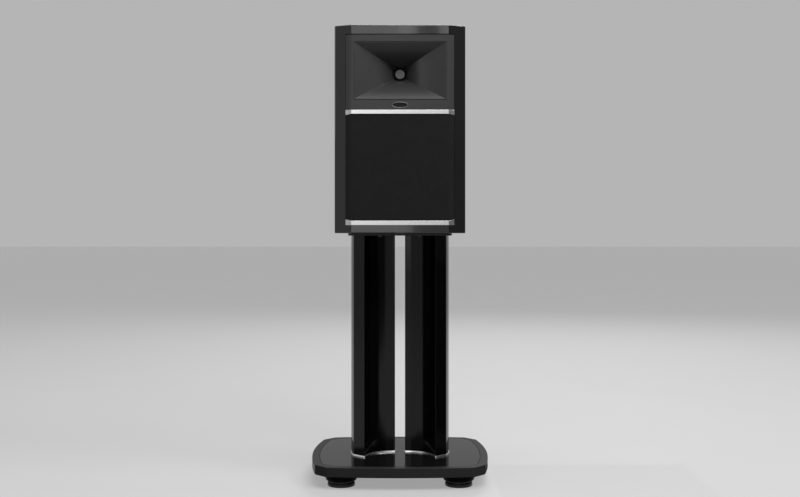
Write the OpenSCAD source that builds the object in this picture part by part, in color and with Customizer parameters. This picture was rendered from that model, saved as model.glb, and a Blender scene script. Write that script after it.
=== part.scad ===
// Bookshelf loudspeaker on its twin-column floor stand.
// Origin on the floor under the middle of the base; +Z up, the front faces -Y.

/* [Base plate] */
// Width of the base plate at its widest
base_w = 452; // [420:1:520]
// Depth of the base plate at its deepest
base_d = 425; // [425:1:500]
// Thickness of the base plate
base_t = 24; // [20:1:32]
// How far the front and back edges bow out
base_front_bow = 11; // [6:1:18]
// How far the side edges bow out
base_side_bow = 17; // [10:1:24]
// Half length of the bowed front edge, up to the corner cut
base_corner_x = 180; // [172:1:190]
// Half length of the bowed side edge, up to the corner cut
base_corner_y = 169.5; // [160:0.5:176]
// Width of the satin rim around the gloss inlay
rim_w = 19; // [14:1:26]
// Thickness of the gloss inlay panel
inlay_t = 4; // [3:0.5:6]
// Groove between inlay and rim
inlay_gap = 0.8; // [0.4:0.1:2]

/* [Feet] */
// Height of a foot, which is the gap under the base plate
foot_h = 31; // [28:1:40]
// Radius of a foot's bowl where it meets the base plate
foot_bowl_r = 40; // [36:1:46]
// Radius of the bowl's lower rim
foot_rim_r = 35; // [32:0.5:38]
// Height of the bowl
foot_bowl_h = 17; // [15:1:20]
// Radius of the ring that stands on the floor
foot_ring_r = 34; // [31:0.5:36]
// Height of the floor ring
foot_ring_h = 9; // [7:0.5:10]
// Distance of a foot's screw from the side edge of the base plate
foot_inset_x = 81; // [76:1:96]
// Distance of a foot's screw from the front or back edge of the base plate
foot_inset_y = 64.5; // [60:0.5:80]
// How far a foot screws down for levelling
foot_travel = 10; // [6:1:12]
// Radius of the foot's screw
stud_r = 5; // [4:0.5:6]
// Radius of the threaded insert in the base plate
insert_r = 9; // [7.5:0.5:12]
// Length of the threaded insert
insert_l = 17; // [15:1:18]

/* [Columns] */
// Height of a column, its foot trim included
column_h = 562; // [400:1:700]
// Gap between the two columns
column_gap = 26; // [20:1:34]
// Radius of the hollow along the front and back of a column
scoop_r = 74; // [70:1:76]
// Distance of the hollow's centre from the middle, sideways
scoop_x = 16; // [14:1:20]
// Distance of the hollow's centre from the middle, front to back
scoop_y = 82; // [80:1:88]
// Sharp edge of a column: distance sideways
edge_x = 90; // [88:0.5:94]
// Sharp edge of a column: distance front to back
edge_y = 79.5; // [78:0.5:82]
// Outer end of the column's slanted face: distance sideways
shoulder_x = 118; // [114:1:122]
// Outer end of the column's slanted face: distance front to back
shoulder_y = 54; // [48:1:60]
// Half width across both columns
column_reach = 127; // [124:1:132]
// Wall of the column extrusion
column_wall = 5; // [4:0.5:6]
// Thickness of the web inside a column
web_t = 5; // [4:0.5:8]
// Radius of the screw ports inside a column
port_boss_r = 9; // [8:0.5:10]
// Height of the bright trim at a column's foot
trim_t = 4; // [3:0.5:8]
// How far the foot trim stands proud of the column
trim_proud = 0.4; // [0.2:0.1:1]

/* [Top plate] */
// Width of the top plate
plate_w = 262; // [258:1:280]
// Depth of the top plate
plate_d = 210; // [200:1:260]
// Thickness of the top plate
plate_t = 6; // [5:0.5:12]
// Corner radius of the top plate
plate_corner_r = 18; // [10:1:30]
// Distance of the cabinet bolts from the middle, sideways
cabinet_bolt_x = 50; // [44:1:56]
// Distance of the cabinet bolts from the middle, front to back
cabinet_bolt_y = 84; // [78:1:88]

/* [Cabinet] */
// Width of the cabinet
cab_w = 322; // [316:1:340]
// Height of the cabinet
cab_h = 510; // [505:1:560]
// Depth of the cabinet
cab_d = 360; // [350:1:400]
// Width of the flat middle of the front
cab_flat_w = 238; // [234:1:244]
// How far back the slanted front faces run
facet_d = 18; // [12:1:22]
// Radius of the bowed side walls
side_r = 1800; // [1500:50:2600]
// Thickness of the side walls
wall_t = 20; // [16:1:22]
// Thickness of the cabinet's top
top_t = 22; // [18:1:26]
// Thickness of the cabinet's bottom
bottom_t = 20; // [18:1:26]
// Width of the opening in the front
opening_w = 267; // [262:1:272]
// Depth of the front frame ahead of the baffle
frame_d = 15; // [14:0.5:20]
// Thickness of the baffle
baffle_t = 28; // [26:1:34]
// Thickness of the rear panel
rear_t = 18; // [16:1:24]
// Height of the horizontal brace above the cabinet's bottom face
brace_z = 283; // [281:1:286]
// Thickness of the brace
brace_t = 15; // [12:1:18]
// Thickness of the damping pads
pad_t = 12; // [8:1:20]

/* [Trim and grille] */
// Height of the lower bright bar
lower_bar_h = 11; // [8:0.5:14]
// Height of the upper bright bar
upper_bar_h = 10; // [8:0.5:14]
// How much taller a bar is at its ends
bar_flare = 2.7; // [0:0.1:4]
// How far the bars stand proud of the front
bar_proud = 1.5; // [0.5:0.1:3]
// Height of the grille between the bars
grille_h = 261; // [258:1:275]
// Thickness of the grille frame
grille_t = 8; // [6:0.5:9]
// Width of the grille frame's border
grille_border = 14; // [13:0.5:18]
// Thickness of the grille cloth
cloth_t = 0.8; // [0.5:0.1:1.2]
// Gap around the grille and the horn panel
reveal = 0.75; // [0.5:0.05:1.2]
// How far the grille pulls off
grille_travel = 60; // [40:5:80]
// Radius of a grille magnet
magnet_disc_r = 4; // [3:0.5:5]
// Thickness of a grille magnet
magnet_disc_t = 3; // [2:0.5:3.5]

/* [Horn] */
// Width of the horn mouth
mouth_w = 230; // [220:1:234]
// Height of the horn mouth
mouth_h = 144; // [138:1:148]
// Height of the mouth's centre above the upper bar
mouth_rise = 96; // [94:1:98]
// Width of the ledge around the mouth
ledge_w = 5; // [4:0.5:9]
// Depth of the ledge below the panel
ledge_d = 2; // [1:0.5:3]
// Depth of the horn from ledge to throat
horn_depth = 85; // [80:1:110]
// Radius of the throat
throat_r = 17.5; // [17:0.5:22]
// How late the horn's walls open: 1 is straight, more stays narrow for longer
horn_flare = 1.9; // [1.2:0.1:3]
// Wall of the horn
horn_wall = 5; // [4:0.5:6]
// Wall of the panel that the horn is moulded in
panel_wall = 5; // [4:0.5:6]
// Gap above the horn panel
panel_top_gap = 2; // [1:0.25:3]
// Radius of the throat flange
flange_r = 50; // [46:1:56]
// Thickness of the throat flange
flange_t = 8; // [6:0.5:10]
// Width of the oval plaque
plaque_w = 40; // [30:1:44]
// Height of the oval plaque
plaque_h = 15; // [12:0.5:16]
// Width of the plaque's raised rim
plaque_rim = 1.2; // [0.8:0.1:2]

/* [Woofer] */
// Radius of the woofer's flange
woofer_r = 108; // [106:1:112]
// How far the woofer's flange lies below the baffle's front
woofer_recess = 6; // [5:0.5:8]
// Thickness of the woofer's flange
woofer_flange_t = 5; // [4:0.5:6]
// Inner radius of the flange, at the surround
surround_out_r = 92; // [90:0.5:93]
// Outer radius of the cone
cone_r = 80; // [76:0.5:81]
// Radius of the voice coil former
coil_r = 19; // [17:0.5:21]
// Excursion of the cone each way
excursion = 8; // [5:0.5:9]
// Depth from the flange to the motor's front plate
motor_depth = 76; // [74:1:84]
// Thickness of the motor's front plate
front_plate_t = 8; // [6:0.5:10]
// Thickness of the ring magnet
magnet_t = 20; // [18:1:26]
// Radius of the ring magnet
magnet_r = 62; // [56:1:66]
// Thickness of the yoke's back plate
yoke_t = 10; // [8:1:12]

/* [Compression driver] */
// Radius of the driver's motor
driver_r = 45; // [43:1:52]
// Length of the driver behind the horn flange
driver_l = 56; // [50:1:66]
// Radius of the phase plug's tip
plug_r = 12; // [10:0.5:13]
// Depth of the plug's tip below the front of the cabinet
plug_depth = 70; // [62:1:74]

/* [Port and terminals] */
// Radius of the port
port_r = 35; // [28:1:40]
// Length of the port tube
port_l = 118; // [80:1:140]
// Wall of the port tube
port_wall = 3; // [2.5:0.5:4]
// Radius of the flares at the port's ends
port_flare = 14; // [8:1:16]
// Height of the port's centre above the cabinet's bottom face
port_z = 385; // [375:1:400]
// Width of the terminal plate
terminal_w = 110; // [90:1:130]
// Height of the terminal plate
terminal_h = 76; // [60:1:90]
// Thickness of the terminal plate
terminal_t = 4; // [3:0.5:6]
// Height of the terminals above the cabinet's bottom face
terminal_z = 110; // [90:1:140]
// Distance between the two binding posts
post_pitch = 38; // [30:1:60]
// Radius of a binding post
post_r = 3; // [3:0.5:5]
// Radius of the plug socket in a binding post
socket_r = 2; // [1.9:0.05:2.2]
// Radius of a binding post knob
knob_r = 9; // [8:0.5:12]
// Length of a binding post knob
knob_l = 16; // [12:0.5:16]
// How far a knob unscrews
knob_travel = 6; // [3:0.5:7]

/* [Hidden] */
$fn = 72;
// Facets of the very large circles that bow the walls and edges
bow_fn = 720;
// Cuts run this far past the faces they open
past = 1;
// Running clearance of a screw or shaft in its bore, on the radius
run_gap = 0.05;
// Clearance of pieces that are set into each other
fit_gap = 0.3;
// Half sizes and places in common use
base_front = base_d / 2;
base_side = base_w / 2;
foot_x = base_side - foot_inset_x;
foot_y = base_front - foot_inset_y;

// Levels, from the floor up
base_z = foot_h;
base_top = base_z + base_t;
column_top = base_top + column_h;
cab_z = column_top + plate_t;
cab_top = cab_z + cab_h;
opening_z = cab_z + bottom_t;
opening_top = cab_top - top_t;
opening_h = opening_top - opening_z;
grille_z = opening_z + lower_bar_h;
upper_bar_z = grille_z + grille_h;
panel_z = upper_bar_z + upper_bar_h;
panel_top = opening_top - panel_top_gap;
mouth_z = panel_z + mouth_rise;
woofer_z = grille_z + grille_h / 2;

// Depths, from the front back
front_y = -cab_d / 2;
rear_y = cab_d / 2;
facet_y = front_y + facet_d;
baffle_y = front_y + frame_d;
baffle_back = baffle_y + baffle_t;
rear_in = rear_y - rear_t;
panel_set = 0.5;
ledge_y = front_y + panel_set + ledge_d;
throat_y = ledge_y + horn_depth;
woofer_y = baffle_y + woofer_recess;
terminal_y = rear_y + terminal_t;

// Bolts and screws
bolt_r = 4;
bolt_head_r = 6.5;
bolt_head_h = 8;
small_bolt_r = 3;
small_head_r = 5.5;
small_head_h = 3.5;
screw_r = 2;
screw_head_r = 3.6;
screw_head_h = 2;
bolt_bite = 30;
column_port_x = [62, 110];
// Depth of a wood screw's thread
wood_bite = 14;
// Wood left between a cabinet bolt's hole and the inside
bolt_floor = 4;

function bow_radius(half, rise) = (half * half + rise * rise) / (2 * rise);
function facet_at(x) = front_y + max(0, abs(x) - cab_flat_w / 2) * facet_d / ((cab_w - cab_flat_w) / 2);
// Where the line through two points meets the X axis and the Y axis
function meets_x(p, q) = (p.x * q.y - q.x * p.y) / (q.y - p.y);
function meets_y(p, q) = (p.x * q.y - q.x * p.y) / (p.x - q.x);

// Turns a piece drawn along +Z so that it runs to the rear, and places it
module to_rear(at) translate(at) rotate([-90, 0, 0]) children();
// A round hole through a thickness, cut past both faces
module through(r, t) translate([0, 0, -past]) cylinder(r = r, h = t + 2 * past);
module both_sides() {
  children();
  mirror([1, 0, 0]) children();
}
module four_ways(x, y) {
  for (sx = [-1, 1], sy = [-1, 1]) translate([sx * x, sy * y, 0]) children();
}

// A diamond whose sides lie on the line through p and q, moved inwards
module diamond(p, q, inset) {
  a = meets_x(p, q);
  b = meets_y(p, q);
  k = 1 - inset * sqrt(a * a + b * b) / (a * b);
  polygon([[a * k, 0], [0, b * k], [-a * k, 0], [0, -b * k]]);
}

// --- Stand ---

module base_outline(inset = 0) {
  front_bow_r = bow_radius(base_corner_x, base_front_bow);
  side_bow_r = bow_radius(base_corner_y, base_side_bow);
  intersection() {
    bowed_edges(front_bow_r, base_front, inset);
    rotate(90) bowed_edges(side_bow_r, base_side, inset);
    diamond([base_corner_x, base_front - base_front_bow], [base_side - base_side_bow, base_corner_y], inset);
  }
}
// What lies between two bowed edges that face each other
module bowed_edges(r, reach, inset) {
  intersection() {
    translate([0, r - reach]) circle(r - inset, $fn = bow_fn);
    translate([0, reach - r]) circle(r - inset, $fn = bow_fn);
  }
}

module base_plate() {
  color([0.17, 0.17, 0.17]) difference() {
    translate([0, 0, base_z]) linear_extrude(base_t) base_outline();
    translate([0, 0, base_top - inlay_t]) linear_extrude(inlay_t + past) base_outline(rim_w);
    four_ways(foot_x, foot_y)
      translate([0, 0, base_z - past]) cylinder(r = insert_r + run_gap, h = insert_l + past);
    both_sides() for (x = column_port_x) translate([x, 0, base_z - past]) {
      cylinder(r = bolt_r + fit_gap, h = base_t + 2 * past);
      cylinder(r = bolt_head_r + fit_gap, h = bolt_head_h + past);
    }
  }
}

module base_inlay() {
  color([0.08, 0.08, 0.085]) difference() {
    translate([0, 0, base_top - inlay_t]) linear_extrude(inlay_t) base_outline(rim_w + inlay_gap);
    both_sides() for (x = column_port_x)
      translate([x, 0, base_z]) cylinder(r = bolt_r + fit_gap, h = base_t + past);
  }
}

module base_inserts() {
  color("goldenrod") four_ways(foot_x, foot_y) translate([0, 0, base_z]) difference() {
    cylinder(r = insert_r, h = insert_l);
    through(stud_r + run_gap, insert_l);
  }
}

// Foot: a bowl that hangs on the screw, and a ring that stands on the floor
foot_lid_t = 5;
foot_edge_h = 4;
foot_wall = 6;
foot_overlap = 3;
foot_ring_round = 3;
nut_r = 11;
nut_h = 5;
nut_room = 1.5;
nut_travel_room = 2;
nut_seat_gap = 0.2;
stud_short = 1.2;
foot_cup_r = foot_rim_r - foot_wall;

module foot_bowl(sx, sy) {
  flare = foot_bowl_r - foot_rim_r;
  drop = foot_bowl_h - foot_edge_h;
  color([0.07, 0.07, 0.07]) translate([sx * foot_x, sy * foot_y, foot_h]) mirror([0, 0, 1])
    difference() {
      rotate_extrude() difference() {
        polygon(concat([[0, 0], [foot_bowl_r, 0]],
          [for (a = [0 : 15 : 90]) [foot_rim_r + flare * cos(a), foot_edge_h + drop * sin(a)]],
          [[0, foot_bowl_h]]));
        translate([0, foot_lid_t]) square([foot_cup_r, foot_bowl_h]);
      }
      through(stud_r + run_gap, foot_lid_t);
    }
}

module foot_ring(sx, sy) {
  nut_floor = foot_h - foot_lid_t - nut_h - nut_travel_room;
  wall_from = nut_r + nut_room;
  r = foot_ring_round;
  color([0.2, 0.2, 0.2]) translate([sx * foot_x, sy * foot_y, 0]) rotate_extrude() difference() {
    union() {
      polygon(concat([[0, 0]],
        [for (a = [-90 : 15 : 0]) [foot_ring_r - r + r * cos(a), r + r * sin(a)]],
        [[foot_ring_r, foot_ring_h - 1], [foot_ring_r - 1, foot_ring_h], [0, foot_ring_h]]));
      square([wall_from + foot_wall, nut_floor]);
      square([foot_cup_r, foot_h - foot_bowl_h + foot_overlap]);
      translate([wall_from, 0]) square([foot_cup_r - fit_gap - wall_from, foot_h - foot_lid_t]);
    }
    translate([0, nut_floor]) square([wall_from, foot_h]);
  }
}

// The levelling screw ends short of its insert; its nut lies under the bowl's lid
module foot_screw(sx, sy) {
  seat = -foot_lid_t - nut_seat_gap;
  color("silver") translate([sx * foot_x, sy * foot_y, foot_h]) {
    translate([0, 0, seat]) cylinder(r = stud_r, h = insert_l - stud_short - seat);
    translate([0, 0, seat - nut_h]) cylinder(r = nut_r, h = nut_h, $fn = 6);
  }
}

module column_section(inset = 0) {
  outer_r = bow_radius(shoulder_y, column_reach - shoulder_x);
  difference() {
    intersection() {
      translate([column_gap / 2 + inset, -scoop_r - scoop_y]) square([column_reach, 2 * (scoop_r + scoop_y)]);
      diamond([edge_x, edge_y], [shoulder_x, shoulder_y], inset);
      translate([column_reach - outer_r, 0]) circle(outer_r - inset, $fn = 180);
    }
    for (s = [-1, 1]) translate([scoop_x, s * scoop_y]) circle(scoop_r + inset, $fn = 180);
  }
}

// Solid width at a column's inner edge, where the hollows leave little room
column_nose = 27;
module column() {
  translate([0, 0, base_top + trim_t]) linear_extrude(column_h - trim_t) difference() {
    column_section();
    difference() {
      intersection() {
        column_section(column_wall);
        translate([column_gap / 2 + column_nose, -scoop_y]) square([column_reach, 2 * scoop_y]);
      }
      translate([0, -web_t / 2]) square([column_reach, web_t]);
      for (x = column_port_x) translate([x, 0]) circle(port_boss_r);
    }
    for (x = column_port_x) translate([x, 0]) circle(bolt_r + run_gap);
  }
}
module column_right() color([0.05, 0.05, 0.055]) column();
module column_left() color([0.05, 0.05, 0.055]) mirror([1, 0, 0]) column();

module column_trims() {
  color("silver") both_sides() translate([0, 0, base_top]) linear_extrude(trim_t) difference() {
    column_section(-trim_proud);
    for (x = column_port_x) translate([x, 0]) circle(bolt_r + fit_gap);
  }
}

module top_plate() {
  color([0.06, 0.06, 0.06]) translate([0, 0, column_top]) difference() {
    linear_extrude(plate_t) rounded_plate(plate_w, plate_d, plate_corner_r);
    both_sides() for (x = column_port_x) translate([x, 0, 0]) {
      through(bolt_r + fit_gap, plate_t);
      translate([0, 0, plate_t - bolt_r])
        cylinder(r1 = bolt_r + fit_gap, r2 = 2 * bolt_r + fit_gap, h = bolt_r);
      translate([0, 0, plate_t]) cylinder(r = 2 * bolt_r + fit_gap, h = past);
    }
    four_ways(cabinet_bolt_x, cabinet_bolt_y)
      through(small_bolt_r + fit_gap, plate_t);
  }
}
module rounded_plate(w, d, r) {
  square([w - 2 * r, d], center = true);
  square([w, d - 2 * r], center = true);
  four_ways(w / 2 - r, d / 2 - r) circle(r);
}

module column_bolts() {
  color("dimgray") both_sides() for (x = column_port_x) translate([x, 0, 0]) {
    translate([0, 0, base_z]) hex_bolt(bolt_r, base_t + trim_t + bolt_bite, bolt_head_r, bolt_head_h);
    translate([0, 0, column_top - bolt_bite]) cylinder(r = bolt_r, h = bolt_bite + plate_t);
    translate([0, 0, cab_z - bolt_r]) cylinder(r1 = bolt_r, r2 = 2 * bolt_r, h = bolt_r);
  }
}
// A bolt that points up, its head's foot at the origin, with a hexagon socket
socket_share = 0.8;
module hex_bolt(r, l, head_r, head_h) {
  difference() {
    union() {
      cylinder(r = r, h = l);
      cylinder(r = head_r, h = head_h);
    }
    translate([0, 0, -past]) cylinder(r = r * socket_share, h = head_h / 2 + past, $fn = 6);
  }
}
module cabinet_bolts() {
  bite = bottom_t - bolt_floor - past;
  color("dimgray") four_ways(cabinet_bolt_x, cabinet_bolt_y)
    translate([0, 0, column_top - small_head_h])
      hex_bolt(small_bolt_r, small_head_h + plate_t + bite, small_head_r, small_head_h);
}

// --- Cabinet ---

// The space between the bowed sides, moved inwards, from one depth to another
module between_sides(inset, from_y, to_y) {
  intersection() {
    translate([-cab_w, from_y]) square([2 * cab_w, to_y - from_y]);
    translate([cab_w / 2 - side_r, facet_y]) circle(side_r - inset, $fn = bow_fn);
    translate([side_r - cab_w / 2, facet_y]) circle(side_r - inset, $fn = bow_fn);
  }
}
module cabinet_outline() {
  intersection() {
    between_sides(0, front_y, rear_y);
    polygon([[-cab_w / 2, facet_y], [-cab_flat_w / 2, front_y], [cab_flat_w / 2, front_y],
      [cab_w / 2, facet_y], [cab_w / 2, rear_y], [-cab_w / 2, rear_y]]);
  }
}

module cabinet_shell() {
  color([0.1, 0.1, 0.105]) difference() {
    translate([0, 0, cab_z]) linear_extrude(cab_h) cabinet_outline();
    translate([0, 0, opening_z]) linear_extrude(opening_h) between_sides(wall_t, baffle_y, rear_y + past);
    translate([-opening_w / 2, front_y - past, opening_z])
      cube([opening_w, frame_d + 2 * past, opening_h]);
    four_ways(cabinet_bolt_x, cabinet_bolt_y)
      translate([0, 0, cab_z - past]) cylinder(r = small_bolt_r + run_gap, h = bottom_t - bolt_floor + past);
  }
}

// A board across the cabinet, cut to its bowed sides
module board(from_y, to_y, from_z, h) {
  translate([0, 0, from_z]) linear_extrude(h) between_sides(wall_t + fit_gap, from_y, to_y);
}

// The horn passes the baffle's hole with this much room
horn_room = 2;
horn_at_baffle = (throat_y - baffle_y) / horn_depth;
horn_hole_w = 2 * (horn_half_w(horn_at_baffle) + horn_wall + horn_room);
horn_hole_h = 2 * (horn_half_h(horn_at_baffle) + horn_wall + horn_room);
// The woofer's screws stand this far inside its flange's edge
woofer_screw_inset = 4.5;
screw_circle = woofer_r - woofer_screw_inset;
woofer_screw_n = 8;

module front_baffle() {
  color([0.12, 0.12, 0.12]) difference() {
    board(baffle_y, baffle_back, opening_z, opening_h);
    translate([-horn_hole_w / 2, baffle_y - past, mouth_z - horn_hole_h / 2])
      cube([horn_hole_w, baffle_t + 2 * past, horn_hole_h]);
    to_rear([0, baffle_y, woofer_z]) {
      translate([0, 0, -past])
        cylinder(r = woofer_r + fit_gap, h = woofer_recess + woofer_flange_t + past);
      cylinder(r = basket_r + fit_gap, h = baffle_t + past);
      ring_of(woofer_screw_n, screw_circle)
        cylinder(r = screw_r + run_gap, h = woofer_recess + woofer_flange_t + wood_bite);
    }
    horn_screw_places() through(screw_r + run_gap, baffle_t);
    grille_points() translate([0, 0, -past]) cylinder(r = magnet_disc_r + run_gap, h = magnet_disc_t + past);
  }
}
module ring_of(n, r) for (i = [0 : n - 1]) rotate(i * 360 / n + 180 / n) translate([r, 0, 0]) children();

// The grille's magnets face those in the baffle at these places
magnet_inset = 21;
module grille_points() {
  for (sx = [-1, 1], sz = [-1, 0, 1])
    to_rear([sx * (panel_half - grille_border / 2), baffle_y, woofer_z + sz * (grille_h / 2 - magnet_inset)])
      children();
}
// Places along the horn panel's edges, drawn from the back of the baffle to the front
boss_side = 20;
boss_edge = 10;
module horn_screw_places() {
  for (x = [-1, 0, 1] * (panel_half - boss_side), z = [panel_z + boss_edge, panel_top - boss_edge])
    translate([x, baffle_back, z]) rotate([90, 0, 0]) children();
}

// The port's flange and the space behind the terminals, cut through the rear panel
port_lip = 4;
port_rim_r = port_r + port_flare + port_lip;
terminal_lap = 12;
module rear_panel() {
  color([0.1, 0.1, 0.105]) difference() {
    board(rear_in, rear_y, opening_z, opening_h);
    to_rear([0, rear_in - past, cab_z + port_z]) cylinder(r = port_rim_r + fit_gap, h = rear_t + 2 * past);
    to_rear([0, rear_in - past, cab_z + terminal_z]) linear_extrude(rear_t + 2 * past)
      square([terminal_w - 2 * terminal_lap, terminal_h - 2 * terminal_lap], center = true);
    terminal_corners() translate([0, 0, -wood_bite]) cylinder(r = screw_r + run_gap, h = wood_bite + past);
  }
}

brace_border = 34;
brace_window_w = 60;
module window_brace() {
  color("burlywood") difference() {
    board(baffle_back, rear_in, cab_z + brace_z, brace_t);
    both_sides() translate([brace_border / 2, baffle_back + brace_border, cab_z + brace_z - past])
      cube([brace_window_w, rear_in - baffle_back - 2 * brace_border, brace_t + 2 * past]);
  }
}

// Pads line the side walls below and above the brace
pad_low_gap = 60;
pad_low_h = 150;
pad_high_gap = 15;
pad_top_gap = 12;
pad_front_gap = 57;
pad_rear_gap = 20;
module damping_pads() {
  high_z = cab_z + brace_z + brace_t + pad_high_gap;
  color("gray") both_sides() {
    damping_pad(opening_z + pad_low_gap, pad_low_h);
    damping_pad(high_z, opening_top - pad_top_gap - high_z);
  }
}
module damping_pad(z, h) {
  translate([0, 0, z]) linear_extrude(h) difference() {
    intersection() {
      between_sides(wall_t + fit_gap, baffle_back + pad_front_gap, rear_in - pad_rear_gap);
      translate([0, -cab_d]) square([cab_w, 2 * cab_d]);
    }
    between_sides(wall_t + pad_t, baffle_back, rear_in);
  }
}

// --- Front: horn, bars and grille ---

// Plan of a piece that follows the slanted front, from the front set back to a flat rear
module front_strip(half_w, set_back, back_y) {
  polygon([[-half_w, back_y], [-half_w, facet_at(half_w) + set_back], [-cab_flat_w / 2, front_y + set_back],
    [cab_flat_w / 2, front_y + set_back], [half_w, facet_at(half_w) + set_back], [half_w, back_y]]);
}
// Front view of a piece, cut straight through
module front_cut(depth_from, depth) {
  translate([0, depth_from + depth, 0]) rotate([90, 0, 0]) linear_extrude(depth) children();
}

function horn_half_w(t) = throat_r + (mouth_w / 2 - ledge_w - throat_r) * pow(t, horn_flare);
function horn_half_h(t) = throat_r + (mouth_h / 2 - ledge_w - throat_r) * pow(t, horn_flare);
// Corner radius: round at the throat, nearly sharp at the mouth
horn_crease_r = 3;
function horn_corner(t) = horn_crease_r + (throat_r - horn_crease_r) * pow(1 - t, 4);
// One ring of the horn: a rectangle with round corners, grown by the wall
function horn_ring(t, grow) = [for (q = [0 : 3], i = [0 : horn_arc])
  let (r = horn_corner(t), a = 90 * (q + i / horn_arc),
    sx = (q == 0 || q == 3) ? 1 : -1, sz = q < 2 ? 1 : -1)
  [sx * (horn_half_w(t) - r) + (r + grow) * cos(a),
   throat_y - t * horn_depth,
   sz * (horn_half_h(t) - r) + (r + grow) * sin(a)]];
horn_arc = 5;
horn_steps = 14;

// The horn's space as one solid from throat to mouth, grown by the wall
module horn_solid(grow) {
  n = 4 * (horn_arc + 1);
  points = [for (k = [0 : horn_steps]) each horn_ring(k / horn_steps, grow)];
  sides = [for (k = [0 : horn_steps - 1], i = [0 : n - 1])
    [k * n + i, (k + 1) * n + i, (k + 1) * n + (i + 1) % n, k * n + (i + 1) % n]];
  ends = [[for (i = [0 : n - 1]) i], [for (i = [n - 1 : -1 : 0]) horn_steps * n + i]];
  translate([0, 0, mouth_z]) polyhedron(points, concat(sides, ends), convexity = 4);
}

panel_half = opening_w / 2 - reveal;
boss_r = 6;
boss_bite = 8;
rib_t = 3;
rib_x = 60;
module horn() {
  color([0.2, 0.2, 0.2]) difference() {
    union() {
      difference() {
        horn_panel();
        translate([-mouth_w / 2, front_y - past, mouth_z - mouth_h / 2])
          cube([mouth_w, ledge_y - front_y + past, mouth_h]);
      }
      horn_solid(horn_wall);
      to_rear([0, throat_y - flange_t, mouth_z]) cylinder(r = flange_r, h = flange_t);
    }
    horn_solid(0);
    translate([-mouth_w / 2 + ledge_w, ledge_y - past, mouth_z - mouth_h / 2 + ledge_w])
      cube([mouth_w - 2 * ledge_w, past, mouth_h - 2 * ledge_w]);
    to_rear([0, throat_y, mouth_z]) through(throat_r, 0);
    driver_screw_places(throat_y - flange_t) through(screw_r + run_gap, flange_t);
    horn_screw_places() cylinder(r = screw_r + run_gap, h = baffle_t + boss_bite + past);
  }
}
// The panel in front of the baffle: an open-backed shell with ribs and screw bosses
module horn_panel() {
  panel_h = panel_top - panel_z;
  difference() {
    translate([0, 0, panel_z]) linear_extrude(panel_h) front_strip(panel_half, panel_set, baffle_y);
    translate([0, 0, panel_z + panel_wall]) linear_extrude(panel_h - 2 * panel_wall)
      front_strip(panel_half - panel_wall, panel_set + panel_wall, baffle_y + past);
  }
  for (x = [-1, 1] * rib_x)
    translate([x - rib_t / 2, front_y + panel_set + past, panel_z + past])
      cube([rib_t, frame_d - panel_set - past, panel_h - 2 * past]);
  for (s = [-1, 1]) translate([0, 0, mouth_z + s * (mouth_h / 2 + rib_t / 2) - rib_t / 2])
    linear_extrude(rib_t) front_strip(panel_half - past, panel_set + past, baffle_y);
  horn_screw_places() translate([0, 0, baffle_t]) cylinder(r = boss_r, h = frame_d - panel_set - past);
}
module horn_screws() {
  color([0.1, 0.1, 0.1]) horn_screw_places() {
    cylinder(r = screw_r, h = baffle_t + boss_bite);
    translate([0, 0, -screw_head_h]) screw_head();
  }
}

// A bare oval with a raised rim
plaque_proud = 0.9;
plaque_dish = 0.4;
module plaque() {
  rx = plaque_w / 2;
  rz = plaque_h / 2;
  z = (panel_z + mouth_z - mouth_h / 2) / 2;
  color([0.05, 0.05, 0.05]) difference() {
    front_cut(front_y - plaque_proud, plaque_proud + panel_set) translate([0, z]) oval(rx, rz);
    front_cut(front_y - plaque_proud - past, past + plaque_dish)
      translate([0, z]) oval(rx - plaque_rim, rz - plaque_rim);
  }
}
module oval(rx, rz) polygon([for (a = [0 : 7.5 : 352.5]) [rx * cos(a), rz * sin(a)]]);

// Outline of a bar in front view; its grille side flares at the ends
module bar_outline(h, flare) {
  e = opening_w / 2;
  polygon([[-e, h], [-e, -flare], [-cab_flat_w / 2, 0], [cab_flat_w / 2, 0], [e, -flare], [e, h]]);
}
module bar(z, h, up) {
  color("silver") intersection() {
    translate([0, 0, z - bar_flare]) linear_extrude(h + 2 * bar_flare)
      front_strip(opening_w / 2, -bar_proud, baffle_y);
    front_cut(front_y - bar_proud - past, frame_d + bar_proud + past)
      translate([0, up ? z : z + h]) mirror([0, up ? 0 : 1]) bar_outline(h, bar_flare);
  }
}
module trim_bar_upper() bar(upper_bar_z, upper_bar_h, true);
module trim_bar_lower() bar(opening_z, lower_bar_h, false);

// Outline of the grille in front view, its corners cut to the flared bars
module grille_outline() {
  e = panel_half;
  low = grille_z + reveal;
  high = upper_bar_z - reveal;
  cut = bar_flare * (e - cab_flat_w / 2) / (opening_w / 2 - cab_flat_w / 2);
  m = cab_flat_w / 2;
  polygon([[-e, low + cut], [-m, low], [m, low], [e, low + cut],
    [e, high - cut], [m, high], [-m, high], [-e, high - cut]]);
}
// A bent sheet that follows the front, between two depths behind it
module bent_sheet(near, far) {
  e = panel_half;
  m = cab_flat_w / 2;
  intersection() {
    translate([0, 0, grille_z]) linear_extrude(grille_h)
      polygon([[-e, facet_at(e) + near], [-m, front_y + near], [m, front_y + near], [e, facet_at(e) + near],
        [e, facet_at(e) + far], [m, front_y + far], [-m, front_y + far], [-e, facet_at(e) + far]]);
    front_cut(front_y - past, cab_d / 2) grille_outline();
  }
}

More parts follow.
